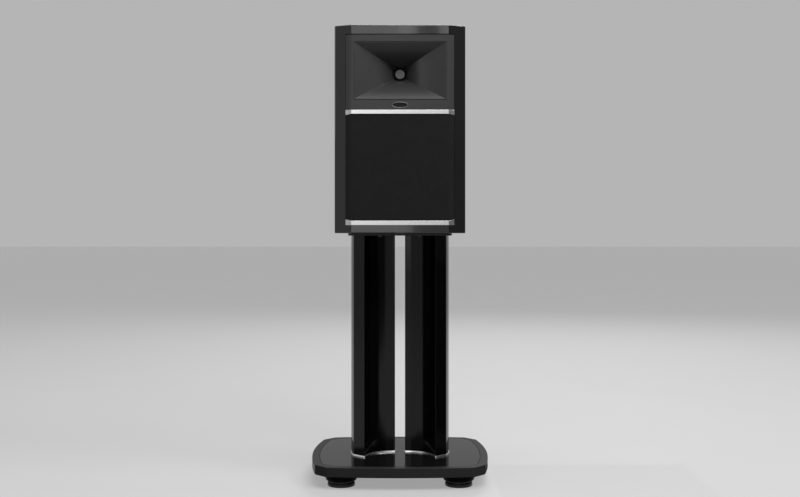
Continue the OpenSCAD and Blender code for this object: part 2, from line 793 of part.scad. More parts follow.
grille_peg_r = 6;
module grille_frame() {
  window_w = 2 * (panel_half - grille_border);
  color([0.1, 0.1, 0.1]) difference() {
    union() {
      difference() {
        bent_sheet(cloth_t, grille_t);
        translate([-window_w / 2, front_y - past, grille_z + grille_border])
          cube([window_w, frame_d, grille_h - 2 * grille_border]);
      }
      grille_points() translate([0, 0, -frame_d / 2]) cylinder(r = grille_peg_r, h = frame_d / 2 - fit_gap);
    }
    grille_points() translate([0, 0, -fit_gap - magnet_disc_t])
      cylinder(r = magnet_disc_r + run_gap, h = magnet_disc_t + past);
  }
}
module grille_cloth() color([0.09, 0.09, 0.09]) bent_sheet(0, cloth_t);
module grille_magnets() {
  t = magnet_disc_t - run_gap;
  color("lightgray") grille_points() translate([0, 0, -fit_gap - t]) cylinder(r = magnet_disc_r, h = t);
}
module baffle_magnets() {
  color("lightgray") grille_points() cylinder(r = magnet_disc_r, h = magnet_disc_t);
}

// --- Woofer, drawn from its flange back ---

module woofer() to_rear([0, woofer_y, woofer_z]) children();
flange_land = 10;
basket_r = woofer_r - flange_land;
basket_rear_r = 60;
basket_wall = 6;
motor_seat_t = 4;
motor_seat_lip = 8;
spider_drop = 19;
spider_h = motor_depth - spider_drop;
spider_seat_t = 3;
ledge_r = 47;
coil_wall = 0.9;
motor_gap = 0.8;
coil_out_r = coil_r + coil_wall;
gap_r = coil_out_r + motor_gap;
pole_r = coil_r - motor_gap;
yoke_room = 3;
coil_end = motor_depth + front_plate_t + magnet_t - excursion - yoke_room;
neck_drop = 12;
neck_h = spider_h - neck_drop;
cone_edge_h = 1;
cone_t = 1.4;
cone_flare = 1.25;
spoke_n = 6;
spoke_half_angle = 11;
seat_drop = 1;
rim_slope = 3;
rim_lip = 0.5;
spoke_foot = 2;

// Cast basket: the flange, six spokes, a seat for the spider and one for the motor
module woofer_basket() {
  inner_r = basket_rear_r - basket_wall;
  rim_in_r = surround_out_r - rim_lip;
  window_half = 180 / spoke_n - spoke_half_angle;
  edge = 2 * woofer_r * [cos(window_half), sin(window_half)];
  window_from = woofer_flange_t + basket_wall;
  color([0.15, 0.15, 0.15]) woofer() difference() {
    rotate_extrude() polygon([[woofer_r, 0], [woofer_r, woofer_flange_t], [basket_r, woofer_flange_t],
      [basket_rear_r, spider_h - motor_seat_t - seat_drop], [basket_rear_r, motor_depth],
      [coil_r + motor_seat_lip, motor_depth], [coil_r + motor_seat_lip, motor_depth - motor_seat_t],
      [inner_r, motor_depth - motor_seat_t], [inner_r, spider_h + spider_seat_t],
      [ledge_r, spider_h + spider_seat_t], [ledge_r, spider_h], [inner_r, spider_h],
      [inner_r, spider_h - motor_seat_t], [rim_in_r, window_from - rim_slope], [rim_in_r, 0]]);
    for (i = [0 : spoke_n - 1]) rotate(360 / spoke_n * i) translate([0, 0, window_from])
      linear_extrude(spider_h - window_from - basket_wall - spoke_foot)
        polygon([[0, 0], edge, [edge.x, -edge.y]]);
    ring_of(woofer_screw_n, screw_circle)
      through(screw_r + run_gap, woofer_flange_t);
  }
}

gasket_w = 7;
gasket_t = 1.5;
gasket_lap = 1;
surround_land_t = 1;
module woofer_gasket() {
  color([0.05, 0.05, 0.05]) woofer()
    tube(surround_out_r + gasket_w, surround_out_r, -gasket_t - surround_land_t, -surround_land_t);
}

// Half roll between the cone's edge and the flange, with a flat land on each side
surround_t = 0.8;
cone_land = 4;
module woofer_surround() {
  roll = (surround_out_r - cone_r) / 2;
  color([0.06, 0.06, 0.06]) woofer() rotate_extrude() {
    translate([cone_r + roll, 0]) difference() {
      circle(roll);
      circle(roll - surround_t);
      translate([-roll - past, 0]) square([2 * (roll + past), roll + past]);
    }
    translate([surround_out_r - surround_t, -surround_land_t])
      square([surround_t + gasket_w - gasket_lap, surround_land_t]);
    translate([cone_r - cone_land, -surround_t]) square([cone_land + surround_t, surround_t]);
  }
}

// Depth of the cone's front at radius r: steep at the neck, flatter at the edge
function cone_depth(r) =
  cone_edge_h + (neck_h - cone_edge_h) * pow((cone_r - r) / (cone_r - coil_out_r), cone_flare);
cone_steps = 8;
module woofer_cone() {
  radii = [for (k = [0 : cone_steps]) cone_r - k * (cone_r - coil_out_r - 0.2) / cone_steps];
  color([0.04, 0.04, 0.04]) woofer() rotate_extrude()
    polygon(concat([for (r = radii) [r, cone_depth(r)]],
      [for (k = [cone_steps : -1 : 0]) [radii[k], cone_depth(radii[k]) + cone_t]]));
}

cap_r = 30;
cap_rise = 9;
cap_t = 1;
module woofer_dust_cap() {
  dome_r = bow_radius(cap_r, cap_rise);
  color([0.05, 0.05, 0.05]) woofer() translate([0, 0, cone_depth(cap_r) - fit_gap / 2]) rotate_extrude()
    intersection() {
      translate([0, dome_r - cap_rise]) difference() {
        circle(dome_r, $fn = 180);
        circle(dome_r - cap_t, $fn = 180);
      }
      translate([0, -cap_rise - past]) square([cap_r, cap_rise + past]);
    }
}

// The spider: a disc pressed into round waves, with a flat land on the basket's seat
spider_t = 0.8;
spider_waves = 6;
spider_wave_h = 1.4;
spider_wave_steps = 36;
spider_glue = 0.2;
spider_land = 1;
module woofer_spider() {
  from = coil_out_r + spider_glue;
  to = ledge_r - spider_land;
  land_end = basket_rear_r - basket_wall - spider_glue;
  function wave(k) = [from + (to - from) * k / spider_wave_steps,
    spider_h - spider_t - spider_wave_h / 2 * (1 - cos(360 * spider_waves * k / spider_wave_steps))];
  color("peru") woofer() rotate_extrude() polygon(concat(
    [for (k = [0 : spider_wave_steps]) wave(k)],
    [[land_end, spider_h - spider_t], [land_end, spider_h]],
    [for (k = [spider_wave_steps : -1 : 0]) wave(k) + [0, spider_t]]));
}

// The voice coil: a former, its winding in the motor's gap, and a collar in the cone's neck
former_inset = 0.3;
winding_half = 9;
winding_sink = 0.1;
collar_half = 2;
former_lead = 4;
module woofer_coil() {
  gap_middle = motor_depth + front_plate_t / 2;
  former_r = coil_out_r - former_inset;
  color("sienna") woofer() {
    tube(former_r, coil_r, neck_h - former_lead, coil_end);
    tube(coil_out_r, former_r - winding_sink, gap_middle - winding_half, gap_middle + winding_half);
    tube(coil_out_r + spider_glue, former_r - winding_sink, neck_h - collar_half, neck_h + collar_half);
  }
}
module tube(outer_r, inner_r, from, to) {
  difference() {
    translate([0, 0, from]) cylinder(r = outer_r, h = to - from);
    translate([0, 0, from - past]) cylinder(r = inner_r, h = to - from + 2 * past);
  }
}

pole_wall = 9;
magnet_room = 10;
yoke_z = front_plate_t + magnet_t;
module woofer_plates() {
  color("slategray") woofer() {
    tube(basket_rear_r, gap_r, motor_depth, motor_depth + front_plate_t);
    translate([0, 0, motor_depth]) difference() {
      union() {
        cylinder(r = pole_r, h = yoke_z + yoke_t);
        translate([0, 0, yoke_z]) cylinder(r = basket_rear_r, h = yoke_t);
      }
      through(pole_r - pole_wall, yoke_z + yoke_t);
    }
  }
}
module woofer_magnet() {
  color([0.22, 0.22, 0.24]) woofer()
    tube(magnet_r, gap_r + magnet_room, motor_depth + front_plate_t, motor_depth + yoke_z);
}
module woofer_screws() {
  color([0.1, 0.1, 0.1]) woofer() ring_of(woofer_screw_n, screw_circle) {
    cylinder(r = screw_r, h = woofer_flange_t + wood_bite);
    translate([0, 0, -screw_head_h]) screw_head();
  }
}
// A pan head with a hexagon socket, its foot on the face that it holds
screw_socket_r = 1.6;
screw_socket_d = 1.1;
module screw_head() {
  difference() {
    cylinder(r = screw_head_r, h = screw_head_h);
    translate([0, 0, -past]) cylinder(r = screw_socket_r, h = past + screw_socket_d, $fn = 6);
  }
}

// --- Compression driver, drawn from the horn's flange back ---

driver_screw_n = 4;
driver_screw_inset = 7;
driver_bite = 10;
hole_room = 2;
module driver() to_rear([0, throat_y, mouth_z]) children();
module driver_screw_places(at_y)
  to_rear([0, at_y, mouth_z]) ring_of(driver_screw_n, flange_r - driver_screw_inset) children();

chamber_h = 20;
chamber_r = 36;
chamber_room = 8;
driver_flange_t = 8;
driver_flange_drop = 2;
driver_edge = 12;
driver_edge_h = 8;
driver_round = 3;
driver_coil_r = 24;
driver_coil_wall = 0.8;
driver_coil_out_r = driver_coil_r + driver_coil_wall;
driver_coil_l = 11;
slot_room = 1;
slot_depth = 18;

module driver_housing() {
  color([0.13, 0.13, 0.14]) driver() difference() {
    rotate_extrude() polygon([[0, 0], [flange_r, 0], [flange_r, driver_flange_t],
      [driver_r, driver_flange_t + driver_flange_drop], [driver_r, driver_l - driver_edge_h],
      [driver_r - driver_round, driver_l - driver_edge_h + driver_round], [driver_r - driver_edge, driver_l],
      [0, driver_l]]);
    through(throat_r, chamber_h);
    translate([0, 0, chamber_h]) cylinder(r = chamber_r, h = chamber_room);
    tube(driver_coil_out_r + slot_room, driver_coil_r - slot_room, chamber_h, chamber_h + slot_depth);
    ring_of(driver_screw_n, flange_r - driver_screw_inset)
      translate([0, 0, -past]) cylinder(r = screw_r + run_gap, h = driver_bite + hole_room + past);
  }
}

// A bullet in the throat on three fins
plug_taper = 2;
plug_base_r = plug_r + plug_taper;
plug_dimple_r = 5;
plug_dimple_d = 0.6;
plug_round = 1;
plug_nose = 8;
fin_n = 3;
fin_t = 1.5;
fin_from = 4;
module driver_plug() {
  tip = plug_depth - (throat_y - front_y);
  color([0.42, 0.42, 0.42]) driver() {
    rotate_extrude() polygon([[0, tip + plug_dimple_d], [plug_dimple_r, tip + plug_dimple_d],
      [plug_dimple_r + plug_dimple_d, tip], [plug_r - plug_round, tip], [plug_r, tip + plug_round],
      [plug_r, tip + plug_nose], [plug_base_r, 0], [plug_base_r, chamber_h - past], [0, chamber_h - past]]);
    for (i = [0 : fin_n - 1]) rotate(360 / fin_n * i + 30)
      translate([0, -fin_t / 2, fin_from]) cube([throat_r - run_gap, fin_t, chamber_h - 2 * past - fin_from]);
  }
}

// A ring diaphragm with two rolls, and the coil behind it
film_t = 0.5;
film_in_gap = 1;
film_out_gap = 0.5;
film_in_r = plug_base_r + film_in_gap;
film_out_r = chamber_r - film_out_gap;
film_lift = 2.1;
film_z = chamber_h + film_lift;
film_roll_h = 2.2;
module driver_diaphragm() {
  outer_valley = (driver_coil_r + film_out_r) / 2;
  inner_valley = (driver_coil_r + film_in_r) / 2;
  ridge = [[film_in_r, film_roll_h], [inner_valley, 0], [driver_coil_r, film_roll_h], [outer_valley, 0],
    [film_out_r, film_roll_h]];
  color("gainsboro") driver() rotate_extrude() {
    polygon([for (p = ridge) p + [0, film_z], for (k = [4 : -1 : 0]) ridge[k] + [0, film_z + film_t]]);
    translate([driver_coil_r, film_z + film_roll_h - film_t]) square([driver_coil_wall, driver_coil_l]);
  }
}

module driver_screws() {
  color([0.3, 0.3, 0.3]) driver_screw_places(throat_y - flange_t) {
    cylinder(r = screw_r, h = flange_t + driver_bite);
    translate([0, 0, -screw_head_h]) screw_head();
  }
}

// --- Rear: port and terminals ---

port_lap = 5;
port_lap_t = 2;
port_foot_t = 8;
port_inner_flare = 6;
module port_tube() {
  color([0.07, 0.07, 0.07]) translate([0, rear_y, cab_z + port_z]) rotate([90, 0, 0]) difference() {
    union() {
      cylinder(r = port_r + port_wall, h = port_l);
      cylinder(r = port_rim_r, h = rear_t);
      translate([0, 0, -port_lap_t]) cylinder(r = port_rim_r + port_lap, h = port_lap_t);
      translate([0, 0, port_l - port_foot_t]) cylinder(r = port_r + port_wall + port_lap, h = port_foot_t);
    }
    translate([0, 0, -port_lap_t - past]) cylinder(r = port_r, h = port_l + port_lap_t + 2 * past);
    translate([0, 0, -port_lap_t]) flare_cut(port_flare);
    translate([0, 0, port_l]) mirror([0, 0, 1]) flare_cut(port_inner_flare);
  }
}
// What a round-over of radius r removes at the mouth of the port
module flare_cut(r) {
  rotate_extrude() difference() {
    translate([port_r - past, -past]) square([r + past, r + past]);
    translate([port_r + r, r]) circle(r);
  }
  translate([0, 0, -past]) cylinder(r = port_r + r, h = past);
}

terminal_screw_inset = 6;
terminal_corner_r = 5;
terminal_bite = 12;
module terminal_corners() {
  x = terminal_w / 2 - terminal_screw_inset;
  z = terminal_h / 2 - terminal_screw_inset;
  for (sx = [-1, 1], sz = [-1, 1]) to_rear([sx * x, rear_y, cab_z + terminal_z + sz * z]) children();
}
module terminal_plate() {
  color([0.25, 0.25, 0.26]) difference() {
    translate([0, rear_y, cab_z + terminal_z]) rotate([-90, 0, 0]) linear_extrude(terminal_t)
      rounded_plate(terminal_w, terminal_h, terminal_corner_r);
    at_posts() translate([0, 0, -terminal_t]) through(post_r + run_gap, terminal_t);
    terminal_corners() through(screw_r + run_gap, terminal_t);
  }
}
module terminal_screws() {
  color("dimgray") terminal_corners() {
    translate([0, 0, -terminal_bite]) cylinder(r = screw_r, h = terminal_bite + terminal_t);
    translate([0, 0, terminal_t + screw_head_h]) mirror([0, 0, 1]) screw_head();
  }
}
// Places drawn from the terminal plate's outer face back
module at_posts() for (s = [-1, 1]) at_post(s) children();
module at_post(s) to_rear([s * post_pitch / 2, terminal_y, cab_z + terminal_z]) children();
nut_t = 4;
collar_t = 2.5;
collar_r = knob_r - 1;
post_tail = terminal_t + 10;
post_tip = 1;
post_end = nut_t + collar_t + knob_l + post_tip;
socket_l = knob_l + 2;
knob_grooves = 12;
groove_r = 1.2;
groove_out = 0.4;
module terminal_posts() {
  color("gold") at_posts() {
    difference() {
      union() {
        translate([0, 0, -post_tail]) cylinder(r = post_r, h = post_tail + post_end);
        cylinder(r = collar_r, h = nut_t, $fn = 6);
        translate([0, 0, -terminal_t - nut_t]) cylinder(r = collar_r - 1, h = nut_t, $fn = 6);
      }
      translate([0, 0, post_end - socket_l]) cylinder(r = socket_r, h = socket_l + past);
    }
  }
}
module post_collar(s) {
  color("gold") at_post(s) translate([0, 0, nut_t]) tube(collar_r, post_r + run_gap, 0, collar_t);
}
module post_knob(s) {
  color(s < 0 ? "firebrick" : "black") at_post(s) translate([0, 0, nut_t + collar_t])
    linear_extrude(knob_l) difference() {
      circle(knob_r);
      circle(post_r + run_gap);
      for (i = [0 : knob_grooves - 1])
        rotate(360 / knob_grooves * i) translate([knob_r + groove_out, 0]) circle(groove_r);
    }
}

// --- Inside: crossover and wiring ---

board_w = 170;
board_d = 120;
board_t = 2;
board_lift = 8;
board_y = 20;
board_leg_r = 4;
board_leg_inset = 8;
board_top = opening_z + board_lift + board_t;
module crossover_board() {
  color("darkgreen") translate([0, board_y, opening_z]) {
    translate([-board_w / 2, -board_d / 2, board_lift]) cube([board_w, board_d, board_t]);
    four_ways(board_w / 2 - board_leg_inset, board_d / 2 - board_leg_inset)
      cylinder(r = board_leg_r, h = board_lift + past);
  }
}

large_inductor_r = 26;
small_inductor_r = 22;
inductor_x = 50;
inductor_y = 21;
inductor_h = 17;
capacitor_r = 9;
capacitor_l = 34;
capacitor_pitch = 20;
resistor = [46, 10, 9];
resistor_pitch = 14;
capacitor_y = -46;
resistor_x = 23;
resistor_y = -48;
module crossover_parts() {
  color("chocolate") translate([0, board_y, board_top]) {
    translate([-inductor_x, inductor_y, 0]) tube(large_inductor_r, large_inductor_r / 2, 0, inductor_h);
    translate([inductor_x, inductor_y, 0]) tube(small_inductor_r, small_inductor_r / 2, 0, inductor_h);
    for (k = [0 : 2]) translate([-capacitor_l * 0.6, capacitor_y + capacitor_pitch * k, capacitor_r])
      rotate([0, 90, 0]) cylinder(r = capacitor_r, h = capacitor_l);
    for (k = [0 : 1]) translate([resistor_x, resistor_y + resistor_pitch * k, 0]) cube(resistor);
  }
}

// Cables inside the cabinet, each one swept along its path with eight sides
cable_r = 2.5;
cable_sides = 8;
function unit(v) = v / norm(v);
function heading(path, i) = unit(path[min(i + 1, len(path) - 1)] - path[max(i - 1, 0)]);
// The side direction at each point, carried along so that the cable doesn't twist
function side_at(path, i) = let (t = heading(path, i), u = i == 0 ? [0.36, 0.48, 0.8] : side_at(path, i - 1))
  unit(u - (u * t) * t);
module cable(path) {
  n = cable_sides;
  last = len(path) - 1;
  points = [for (i = [0 : last]) let (t = heading(path, i), u = side_at(path, i), v = cross(t, u))
    for (k = [0 : n - 1]) path[i] + cable_r * (cos(360 * k / n) * u + sin(360 * k / n) * v)];
  sides = [for (i = [0 : last - 1], k = [0 : n - 1])
    [i * n + k, (i + 1) * n + k, (i + 1) * n + (k + 1) % n, i * n + (k + 1) % n]];
  ends = [[for (k = [0 : n - 1]) k], [for (k = [n - 1 : -1 : 0]) last * n + k]];
  polyhedron(points, concat(sides, ends), convexity = 6);
}
lead_bend = 10;
lead_loop = 20;
lead_edge = 6;
// Where the leads meet the woofer and the driver: how far behind each one's front
woofer_lead_y = 64;
horn_lead_y = 35;
horn_lead_rise = 3;
woofer_lead = [70, woofer_y + woofer_lead_y, 30];
horn_lead = [-76, board_y, cab_z + brace_z - lead_bend];
horn_lead_x = -22;
horn_lead_z = mouth_z - 60;
module inner_wiring() {
  x = post_pitch / 2;
  post_in = terminal_y - post_tail;
  post_z = cab_z + terminal_z;
  board_edge = board_y + board_d / 2 - lead_edge;
  color("crimson") {
    both_sides() cable([[x, post_in, post_z], [x, post_in - lead_bend, post_z],
      [x, post_in - lead_bend, board_top + lead_loop], [x, board_edge, board_top + lead_loop / 2],
      [x, board_edge, board_top]]);
    cable([[woofer_lead.x, board_y, board_top], [woofer_lead.x, board_y, board_top + woofer_lead.z],
      [woofer_lead.x, woofer_lead.y, woofer_z - lead_loop],
      [basket_rear_r + cable_r, woofer_lead.y, woofer_z]]);
    cable([[horn_lead.x, board_y, board_top], horn_lead, [horn_lead_x, horn_lead.y, horn_lead.z],
      [horn_lead_x, board_y, horn_lead_z],
      [horn_lead_x, throat_y + horn_lead_y, mouth_z - driver_r + horn_lead_rise]]);
  }
}

base_plate();
base_inlay();
base_inserts();
foot_bowl(-1, -1);  // foot_bowl_fl
foot_bowl(1, -1);  // foot_bowl_fr
foot_bowl(-1, 1);  // foot_bowl_rl
foot_bowl(1, 1);  // foot_bowl_rr
foot_ring(-1, -1);  // foot_ring_fl
foot_ring(1, -1);  // foot_ring_fr
foot_ring(-1, 1);  // foot_ring_rl
foot_ring(1, 1);  // foot_ring_rr
foot_screw(-1, -1);  // foot_screw_fl
foot_screw(1, -1);  // foot_screw_fr
foot_screw(-1, 1);  // foot_screw_rl
foot_screw(1, 1);  // foot_screw_rr
column_left();
column_right();
column_trims();
top_plate();
column_bolts();
cabinet_bolts();
cabinet_shell();
front_baffle();
rear_panel();
window_brace();
damping_pads();
horn();
horn_screws();
plaque();
trim_bar_upper();
trim_bar_lower();
grille_frame();
grille_cloth();
grille_magnets();
baffle_magnets();
woofer_basket();
woofer_gasket();
woofer_surround();
woofer_cone();
woofer_dust_cap();
woofer_spider();
woofer_coil();
woofer_plates();
woofer_magnet();
woofer_screws();
driver_housing();
driver_plug();
driver_diaphragm();
driver_screws();
port_tube();
terminal_plate();
terminal_posts();
terminal_screws();
post_collar(-1);  // post_collar_left
post_collar(1);  // post_collar_right
post_knob(-1);  // post_knob_left
post_knob(1);  // post_knob_right
crossover_board();
crossover_parts();
inner_wiring();
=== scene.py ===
from math import atan2, cos, pi, radians, sin, sqrt, tan
import bmesh
import bpy
from mathutils import Matrix, Vector, noise


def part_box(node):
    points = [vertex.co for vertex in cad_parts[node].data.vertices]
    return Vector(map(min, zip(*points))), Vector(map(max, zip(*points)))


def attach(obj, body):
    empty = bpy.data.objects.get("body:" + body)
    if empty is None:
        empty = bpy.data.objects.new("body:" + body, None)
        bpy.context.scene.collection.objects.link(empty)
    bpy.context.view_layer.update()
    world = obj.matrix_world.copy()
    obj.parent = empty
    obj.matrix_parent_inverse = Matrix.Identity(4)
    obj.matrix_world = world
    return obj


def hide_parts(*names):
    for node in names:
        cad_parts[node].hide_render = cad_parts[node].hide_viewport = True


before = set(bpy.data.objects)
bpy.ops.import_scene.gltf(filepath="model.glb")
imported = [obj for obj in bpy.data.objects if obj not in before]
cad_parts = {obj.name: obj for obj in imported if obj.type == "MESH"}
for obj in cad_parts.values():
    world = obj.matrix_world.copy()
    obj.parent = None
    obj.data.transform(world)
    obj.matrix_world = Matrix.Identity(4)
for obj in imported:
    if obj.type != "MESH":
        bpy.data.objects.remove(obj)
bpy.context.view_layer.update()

root = "speaker_and_stand"
softEdge = 0.0008    # rounding of the plain edges of a piece
barEdge = 0.0006     # and of the trim bars
past = 0.01          # how far a cutter reaches past what it cuts
lap = 0.001          # how far two cutters run into each other
tiny = 1e-6          # points closer than this are one


class Place:
    # the box of one node or of several, in metres
    def __init__(self, *nodes):
        boxes = [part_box(n) for n in nodes]
        self.low = Vector([min(b[0][i] for b in boxes) for i in range(3)])
        self.high = Vector([max(b[1][i] for b in boxes) for i in range(3)])
        self.middle = (self.low + self.high) / 2
        self.size = self.high - self.low


# shader graphs

class Signal:
    # a socket that takes part in sums, so shader maths reads as an expression
    def __init__(self, graph, socket):
        self.graph, self.socket = graph, socket

    def maths(self, operation, *values):
        return self.graph.node("ShaderNodeMath", {"operation": operation}, dict(enumerate(values)))

    def __add__(self, other): return self.maths("ADD", self, other)
    def __radd__(self, other): return self.maths("ADD", other, self)
    def __sub__(self, other): return self.maths("SUBTRACT", self, other)
    def __rsub__(self, other): return self.maths("SUBTRACT", other, self)
    def __mul__(self, other): return self.maths("MULTIPLY", self, other)
    def __rmul__(self, other): return self.maths("MULTIPLY", other, self)
    def __abs__(self): return self.maths("ABSOLUTE", self)
    def sine(self): return self.maths("SINE", self)
    def above(self, other): return self.maths("GREATER_THAN", self, other)
    def largest(self, other): return self.maths("MAXIMUM", self, other)


class Graph:
    # one material, or the world, and the nodes it is made of
    def __init__(self, name, kind="materials"):
        self.owner = getattr(bpy.data, kind).new(name)
        self.owner.use_nodes = True
        self.tree = self.owner.node_tree
        self.tree.nodes.clear()

    def node(self, kind, settings=None, sockets=None, out=0):
        made = self.tree.nodes.new(kind)
        for key, value in (settings or {}).items():
            if key == "stops":
                ramp = made.color_ramp
                while len(ramp.elements) < len(value):
                    ramp.elements.new(1)
                for stop, (place, grey) in zip(ramp.elements, value):
                    stop.position, stop.color = place, (grey, grey, grey, 1)
            else:
                setattr(made, key, value)
        for key, value in (sockets or {}).items():
            if isinstance(value, Signal):
                self.tree.links.new(value.socket, made.inputs[key])
            else:
                made.inputs[key].default_value = value
        return Signal(self, made.outputs[out])

    def coords(self):
        return self.node("ShaderNodeTexCoord", out="Object")

    def stretched(self, scale):
        return self.node("ShaderNodeMapping", None, {"Vector": self.coords(), "Scale": scale})

    def axis(self, letter):
        return self.node("ShaderNodeSeparateXYZ", None, {"Vector": self.coords()}, out=letter)

    def noise(self, scale, detail=2, roughness=0.5, stretch=None):
        where = self.stretched(stretch) if stretch else self.coords()
        return self.node("ShaderNodeTexNoise", None, {
            "Vector": where, "Scale": scale, "Detail": detail, "Roughness": roughness})

    def ramp(self, signal, *stops):
        return self.node("ShaderNodeValToRGB", {"stops": stops}, {"Fac": signal})

    def between(self, mask, first, second):
        return self.node("ShaderNodeMix", {"data_type": "RGBA"},
                         {0: mask, 6: first, 7: second}, out=2)

    def bump(self, height, depth, strength):
        return self.node("ShaderNodeBump", None, {
            "Height": height, "Distance": depth, "Strength": strength})

    def seen(self):
        # 1 for the rays that show the surroundings, 0 for the soft light that they throw back
        camera, glossy, clear = (self.node("ShaderNodeLightPath", out="Is " + kind + " Ray")
                                 for kind in ("Camera", "Glossy", "Transmission"))
        return camera.largest(glossy).largest(clear)

    def end(self, kind, shader):
        last = self.tree.nodes.new(kind)
        self.tree.links.new(shader.socket, last.inputs["Surface"])
        return self.owner

    def surface(self, colour, roughness, metallic=0.0, normal=None, coat=0.0, coatRoughness=0.05,
                sheen=0.0, bend=1.5, glow=None):
        sockets = {"Base Color": colour, "Roughness": roughness, "Metallic": metallic, "IOR": bend,
                   "Coat Weight": coat, "Coat Roughness": coatRoughness, "Sheen Weight": sheen}
        if normal:
            sockets["Normal"] = normal
        if glow:
            sockets.update({"Emission Color": glow, "Emission Strength": 1.0})
        shader = self.node("ShaderNodeBsdfPrincipled", None, sockets)
        return self.end("ShaderNodeOutputMaterial", shader)


def tone(value, tint=(1, 1, 1)):
    return (value * tint[0], value * tint[1], value * tint[2], 1)


# finishes

def lacquer(name, dark=0.003, light=0.006, roughness=0.06, coat=0.0, bend=1.5, tint=(1, 1, 1.03)):
    # deep gloss over black, with a trace of orange peel
    g = Graph(name)
    peel = g.noise(260, 1)
    return g.surface(
        g.between(g.noise(6, 2), tone(dark, tint), tone(light, tint)),
        roughness + 0.04 * g.noise(40, 4),
        normal=g.bump(peel, 0.00002, 0.25), coat=coat, coatRoughness=0.03, bend=bend)


def moulded(name, dark=0.02, light=0.028, roughness=0.42, grain=0.00006, size=1500,
            tint=(1, 1, 1), bend=1.5):
    # plastic or paint with the fine grain of its tool
    g = Graph(name)
    return g.surface(
        g.between(g.noise(14, 3), tone(dark, tint), tone(light, tint)),
        roughness + 0.12 * (g.noise(30, 4) - 0.5),
        normal=g.bump(g.noise(size, 3, 0.6), grain, 0.5), bend=bend)


def brushed(name, value, tint, roughness=0.28, stretch=(3, 400, 400), depth=0.00002):
    # metal with fine lines along one direction
    g = Graph(name)
    lines = g.noise(3, 4, 0.7, stretch)
    cloud = g.noise(9, 3)
    return g.surface(
        g.between(0.6 * lines + 0.4 * cloud, tone(value * 0.86, tint), tone(value, tint)),
        roughness + 0.16 * (lines - 0.5), metallic=1.0, normal=g.bump(lines, depth, 0.4))


def turned(name, value, tint, roughness=0.22):
    # plated or machined metal with faint handling marks
    g = Graph(name)
    marks = g.noise(60, 5, 0.65)
    return g.surface(
        g.between(g.noise(25, 2), tone(value * 0.9, tint), tone(value, tint)),
        roughness + 0.12 * (marks - 0.5), metallic=1.0, normal=g.bump(marks, 0.00001, 0.3))


def rubber(name, dark=0.010, light=0.017, roughness=0.6):
    g = Graph(name)
    dust = g.noise(300, 4, 0.7)
    return g.surface(
        g.between(g.noise(20, 3), tone(dark), tone(light)),
        roughness + 0.15 * (dust - 0.5), normal=g.bump(dust, 0.00004, 0.4))


def woven(name, thread, dark=0.003, light=0.009, depth=0.00025, tint=(1, 1, 1), bend=1.5):
    # plain weave across the front: threads along X and along Z pass over each other
    g = Graph(name)
    across, up = g.axis("X") * (pi / thread), g.axis("Z") * (pi / thread)
    over = (across.sine() * up.sine()).above(0)
    threads = over * abs(across.sine()) + (1 - over) * abs(up.sine())
    slub = g.noise(90, 4, 0.7)
    mixed = 0.35 * threads + 0.25 * slub + 0.4 * g.noise(48, 4, 0.6)
    return g.surface(
        g.between(mixed, tone(dark, tint), tone(light, tint)),
        0.82 + 0.12 * (slub - 0.5), normal=g.bump(threads + 0.5 * slub, depth, 0.6),
        sheen=0.01, bend=bend)


def fibreboard(name, dark=(0.36, 0.25, 0.14), light=(0.5, 0.37, 0.22)):
    g = Graph(name)
    fleck = g.noise(220, 6, 0.7)
    return g.surface(
        g.between(fleck, (*dark, 1), (*light, 1)),
        0.85 + 0.1 * (g.noise(60, 3) - 0.5), normal=g.bump(fleck, 0.0001, 0.4))


def felt(name):
    g = Graph(name)
    hair = g.noise(240, 6, 0.8, (1, 0.35, 1))
    return g.surface(
        g.between(hair, tone(0.2, (1, 1, 1.03)), tone(0.46, (1, 1, 1.03))),
        0.95 - 0.06 * hair, normal=g.bump(hair, 0.0012, 0.8), sheen=0.2)


def coned(name):
    # fibre cone: fine hairs under a matte coat
    g = Graph(name)
    hair = g.noise(500, 5, 0.75)
    return g.surface(
        g.between(g.noise(30, 3), tone(0.01), tone(0.02)),
        0.55 + 0.2 * (hair - 0.5), normal=g.bump(hair, 0.0001, 0.5))


def wound(name, value, tint, pitch):
    # enamelled wire, turn beside turn, with painted shade: the colour is halved where one turn
    # meets the next
    g = Graph(name)
    turns = abs((g.axis("Z") * (pi / pitch)).sine())
    return g.surface(
        g.between(turns, tone(value * 0.5, tint), tone(value, tint)),
        0.3 + 0.1 * g.noise(80, 3), metallic=0.9, normal=g.bump(turns, 0.0003, 0.7))


def circuit(name):
    # solder mask over copper tracks
    g = Graph(name)
    lattice = (g.axis("X") * 190).sine() * (g.axis("Y") * 130).sine()
    tracks = g.ramp(abs(lattice), (0.52, 0), (0.56, 1))
    return g.surface(
        g.between(tracks, (0.004, 0.05, 0.018, 1), (0.012, 0.12, 0.04, 1)),
        0.35 + 0.1 * g.noise(120, 3), normal=g.bump(tracks, 0.00005, 0.6))


